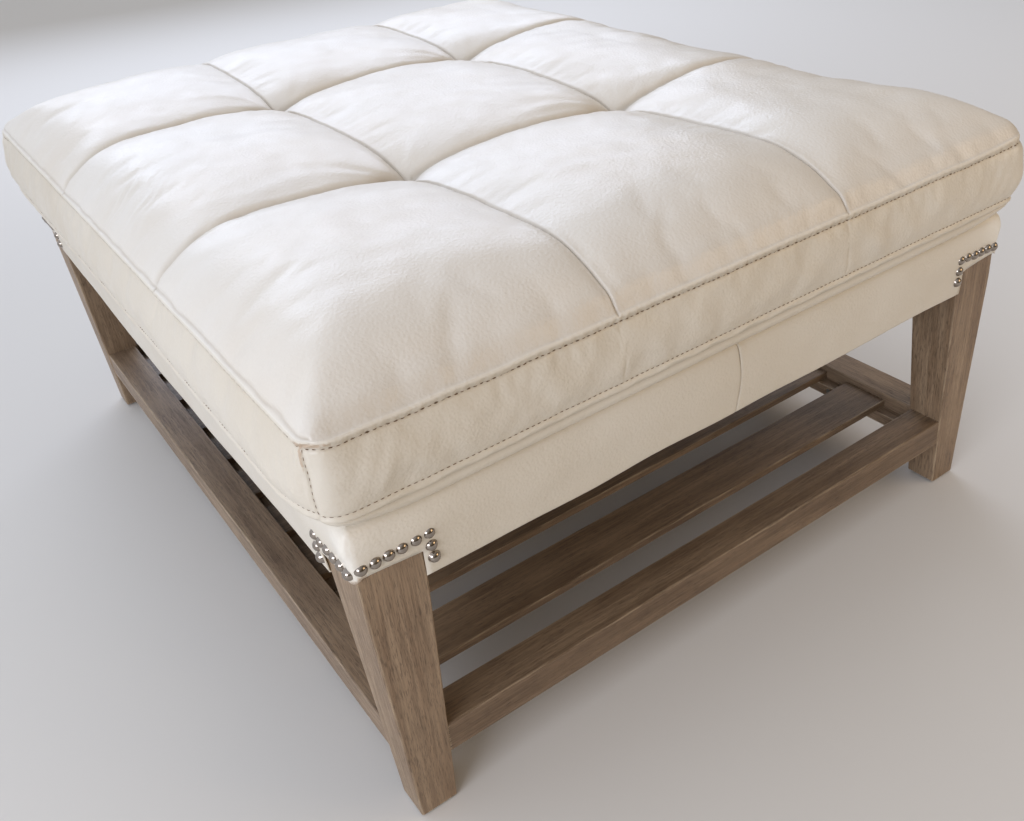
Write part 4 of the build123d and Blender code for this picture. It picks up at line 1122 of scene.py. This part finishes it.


# All carry the same stain, but the rails and slats are coloured darker than the legs: painted shade, for
# the shade they stand in under the table.
stain_and_shade = (("35271B", "735D47", "917A61"), ("392A1E", "826B56", "A38C73"), ("3E2E20", "886F56", "AA9277"))
wood_along = [wood("wire_brushed_ash_along_" + axis, i, *stain_and_shade[i], 0.46) for i, axis in enumerate("xyz")]
raw_pine = [wood("raw_pine_along_" + axis, i, "A98659", "CBAA7C", "DDC39A", 0.7, 0.2, 0.1)
            for i, axis in enumerate("xyz")]
print("woods:", [m.name for m in wood_along + raw_pine])

# %% [markdown]
# ## What is out of sight
# Frame, deck, screws, bolts, ties and cloth are there because the table needs them, and
# someone who turns it over sees them. They get plain, honest finishes.

# %% Finishes of the hidden pieces
# Zinc plate is a dull mirror with pale spangles; nylon is smooth and waxy; waxed twine and
# planed beech have a soft sheen; spunbond cloth is matt, with a web of pressed fibres.
zinc = plain("zinc_plated_steel", "9FA3A6", "C3C6C6", 2 * mm, 0.35, metallic=1.0)
nylon = plain("moulded_nylon", "5E5850", "6E675E", 9 * mm, 0.55)
twine = plain("waxed_nylon_twine", "B9A98B", "D8CBB0", 1.5 * mm, 0.75, bump=0.3 * mm)
beech = plain("beech_dowel", "B98E5E", "D2AC7E", 3 * mm, 0.65, bump=0.1 * mm)
cambric = plain("black_spunbond_cambric", "141414", "2A2928", 0.9 * mm, 0.95, bump=0.15 * mm)

# The first start of a name that fits gives the finish.
finishes = {
    "leg_": wood_along[2], "shelf_rail_front": wood_along[0], "shelf_rail_back": wood_along[0],
    "shelf_rail_left": wood_along[1], "shelf_rail_right": wood_along[1], "slat_cleat": wood_along[1],
    "slat_screws": zinc, "cleat_screws": zinc, "shelf_rail_dowels": beech, "foot_glides": nylon,
    "slat_": wood_along[0], "corner_block_screws": zinc, "corner_blocks": raw_pine[2],
    "hanger_": zinc, "deck_screws": zinc, "deck_board": raw_pine[1], "dust_cover_staples": zinc,
    "dust_cover": cambric, "tuft_ties": twine, "tuft_anchors": zinc,
    "seat_rail_left": raw_pine[1], "seat_rail_right": raw_pine[1], "seat_": raw_pine[0],
}
for name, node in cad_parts.items():
    finish = next((material for start, material in finishes.items() if name.startswith(start)), None)
    if finish:
        node.data.materials.clear()
        node.data.materials.append(finish)
    elif not node.hide_render:
        print("no finish:", name)
print("finishes:", len(finishes))

# %% The deck board, set back
# Under the rounded hide the deck board stands back, so that its edge doesn't cut through.
deck_band, band_left = 12 * mm, 3 * mm
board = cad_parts["deck_board"]
deck = bpy.data.objects.new("deck", board.data.copy())
bpy.context.collection.objects.link(deck)
deck.data.transform(board.matrix_world)
deck_points = vectors(deck.data.vertices, "co")
plan = deck_points[:, :2]
over = np.clip(np.abs(plan) - (plan.max(0) - deck_band), 0, None)
plan -= np.sign(plan) * over * (1 - band_left / deck_band)
deck.data.vertices.foreach_set("co", deck_points.ravel())
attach(deck, body)
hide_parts("deck_board")
print("deck: half sizes", plan.max(0).round(4))

# %% [markdown]
# ## Dust cover
# Under the seat frame a black spunbond cloth is stretched and stapled, so that nobody
# sees the springs of the trade: screws, knots and raw wood. It is one flat cut with four
# notches for the legs. Between its staples it hangs a little, so it is a fine grid that
# sags, not a board.

# %% The cloth under the seat frame
cloth_low, cloth_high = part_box("dust_cover")
cloth_x, cloth_y = cloth_high.x, cloth_high.y
notch_play, grid_step = 1 * mm, 12 * mm
notch_x, notch_y = leg_in_x - notch_play, leg_in_y - notch_play
cloth_sag, cloth_pull, cloth_rise, cloth_thickness = 5 * mm, 0.35 * mm, 0.2 * mm, 0.5 * mm
# Where the sag and the pulls begin and are full, in from the cloth's edge.
sag_x, sag_y, pull_in = (14 * mm, 190 * mm), (14 * mm, 240 * mm), (9 * mm, 40 * mm)


def cloth_lines(half, notch):
    """Grid lines over the cloth, with one on each edge of the notches."""
    inner = np.linspace(-notch, notch, round(2 * notch / grid_step) + 1)
    outer = np.linspace(notch, half, 6)[1:]
    return np.concatenate([-outer[::-1], inner, outer])


px, py = np.meshgrid(cloth_lines(cloth_x, notch_x), cloth_lines(cloth_y, notch_y), indexing="ij")
in_cloth = (np.abs(px) < notch_x + 1e-6) | (np.abs(py) < notch_y + 1e-6)
in_x, in_y = cloth_x - np.abs(px), cloth_y - np.abs(py)
hang = cloth_sag * ease(in_x, *sag_x) * ease(in_y, *sag_y)
pull = cloth_pull * uneven(px, py, 90 * mm, 51) * ease(in_x, *pull_in) * ease(in_y, *pull_in)
cloth_points = np.stack([px, py, cloth_low.z + cloth_rise - hang + pull], -1)[in_cloth]
cloth_faces = squares(in_cloth)[:, [0, 3, 2, 1]]     # turned to face down
dust_cloth = new_piece("dust_cloth", cloth_points, cloth_faces.tolist(), cambric)
weave = dust_cloth.modifiers.new("thickness", "SOLIDIFY")
weave.thickness = cloth_thickness
weave.offset = -1
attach(dust_cloth, body)
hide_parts("dust_cover")

# %% [markdown]
# ## Tuft ties
# What makes a tuft is a doubled, waxed cord that runs from the seam crossing down
# through foam and deck to a washer. Nobody sees it until the cover comes off. It is two
# strands twisted round each other, so each strand is a tube swept along a helix.

# %% Twisted cords from the tufts to their washers


def tube(path, radius, sides):
    """Points and faces of a closed tube along a path, as rings joined by quads and two caps."""
    heading = np.gradient(path, axis=0)
    heading /= np.linalg.norm(heading, axis=1)[:, None]
    first = np.cross(heading, (1.0, 0.0, 0.0))
    first /= np.linalg.norm(first, axis=1)[:, None]
    second = np.cross(heading, first)
    turn = np.arange(sides)[:, None] * 2 * np.pi / sides
    rings = path[:, None] + radius * (np.cos(turn) * first[:, None] + np.sin(turn) * second[:, None])
    quads = [(i * sides + j, i * sides + (j + 1) % sides, (i + 1) * sides + (j + 1) % sides,
              (i + 1) * sides + j) for i in range(len(path) - 1) for j in range(sides)]
    quads.append(tuple(range(sides))[::-1])
    quads.append(tuple((len(path) - 1) * sides + j for j in range(sides)))
    return rings.reshape(-1, 3), quads


below_washer, below_leather = 1 * mm, 3 * mm
tie_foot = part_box("tuft_anchors")[0].z - below_washer
tie_top = ridge_z + float(top_height(*tufts[-1])) - below_leather
strand, strand_sides, twist_pitch = 0.75 * mm, 6, 9 * mm
heights = np.linspace(tie_foot, tie_top, 110)
tie_points, tie_faces = [], []
for tuft_x, tuft_y in tufts:
    for half_turn in (0, np.pi):
        angle = 2 * np.pi * (heights - tie_foot) / twist_pitch + half_turn
        helix = np.column_stack([tuft_x + strand * np.cos(angle), tuft_y + strand * np.sin(angle), heights])
        tube_points, tube_faces = tube(helix, strand, strand_sides)
        tie_faces += [tuple(len(tie_points) + k for k in face) for face in tube_faces]
        tie_points += list(tube_points)
ties = new_piece("tie_cords", tie_points, tie_faces, twine)
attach(ties, body)
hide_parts("tuft_ties")
print("ties:", len(tie_faces), "faces, tops at", round(tie_top, 4))

# %% Update the scene
bpy.context.view_layer.update()
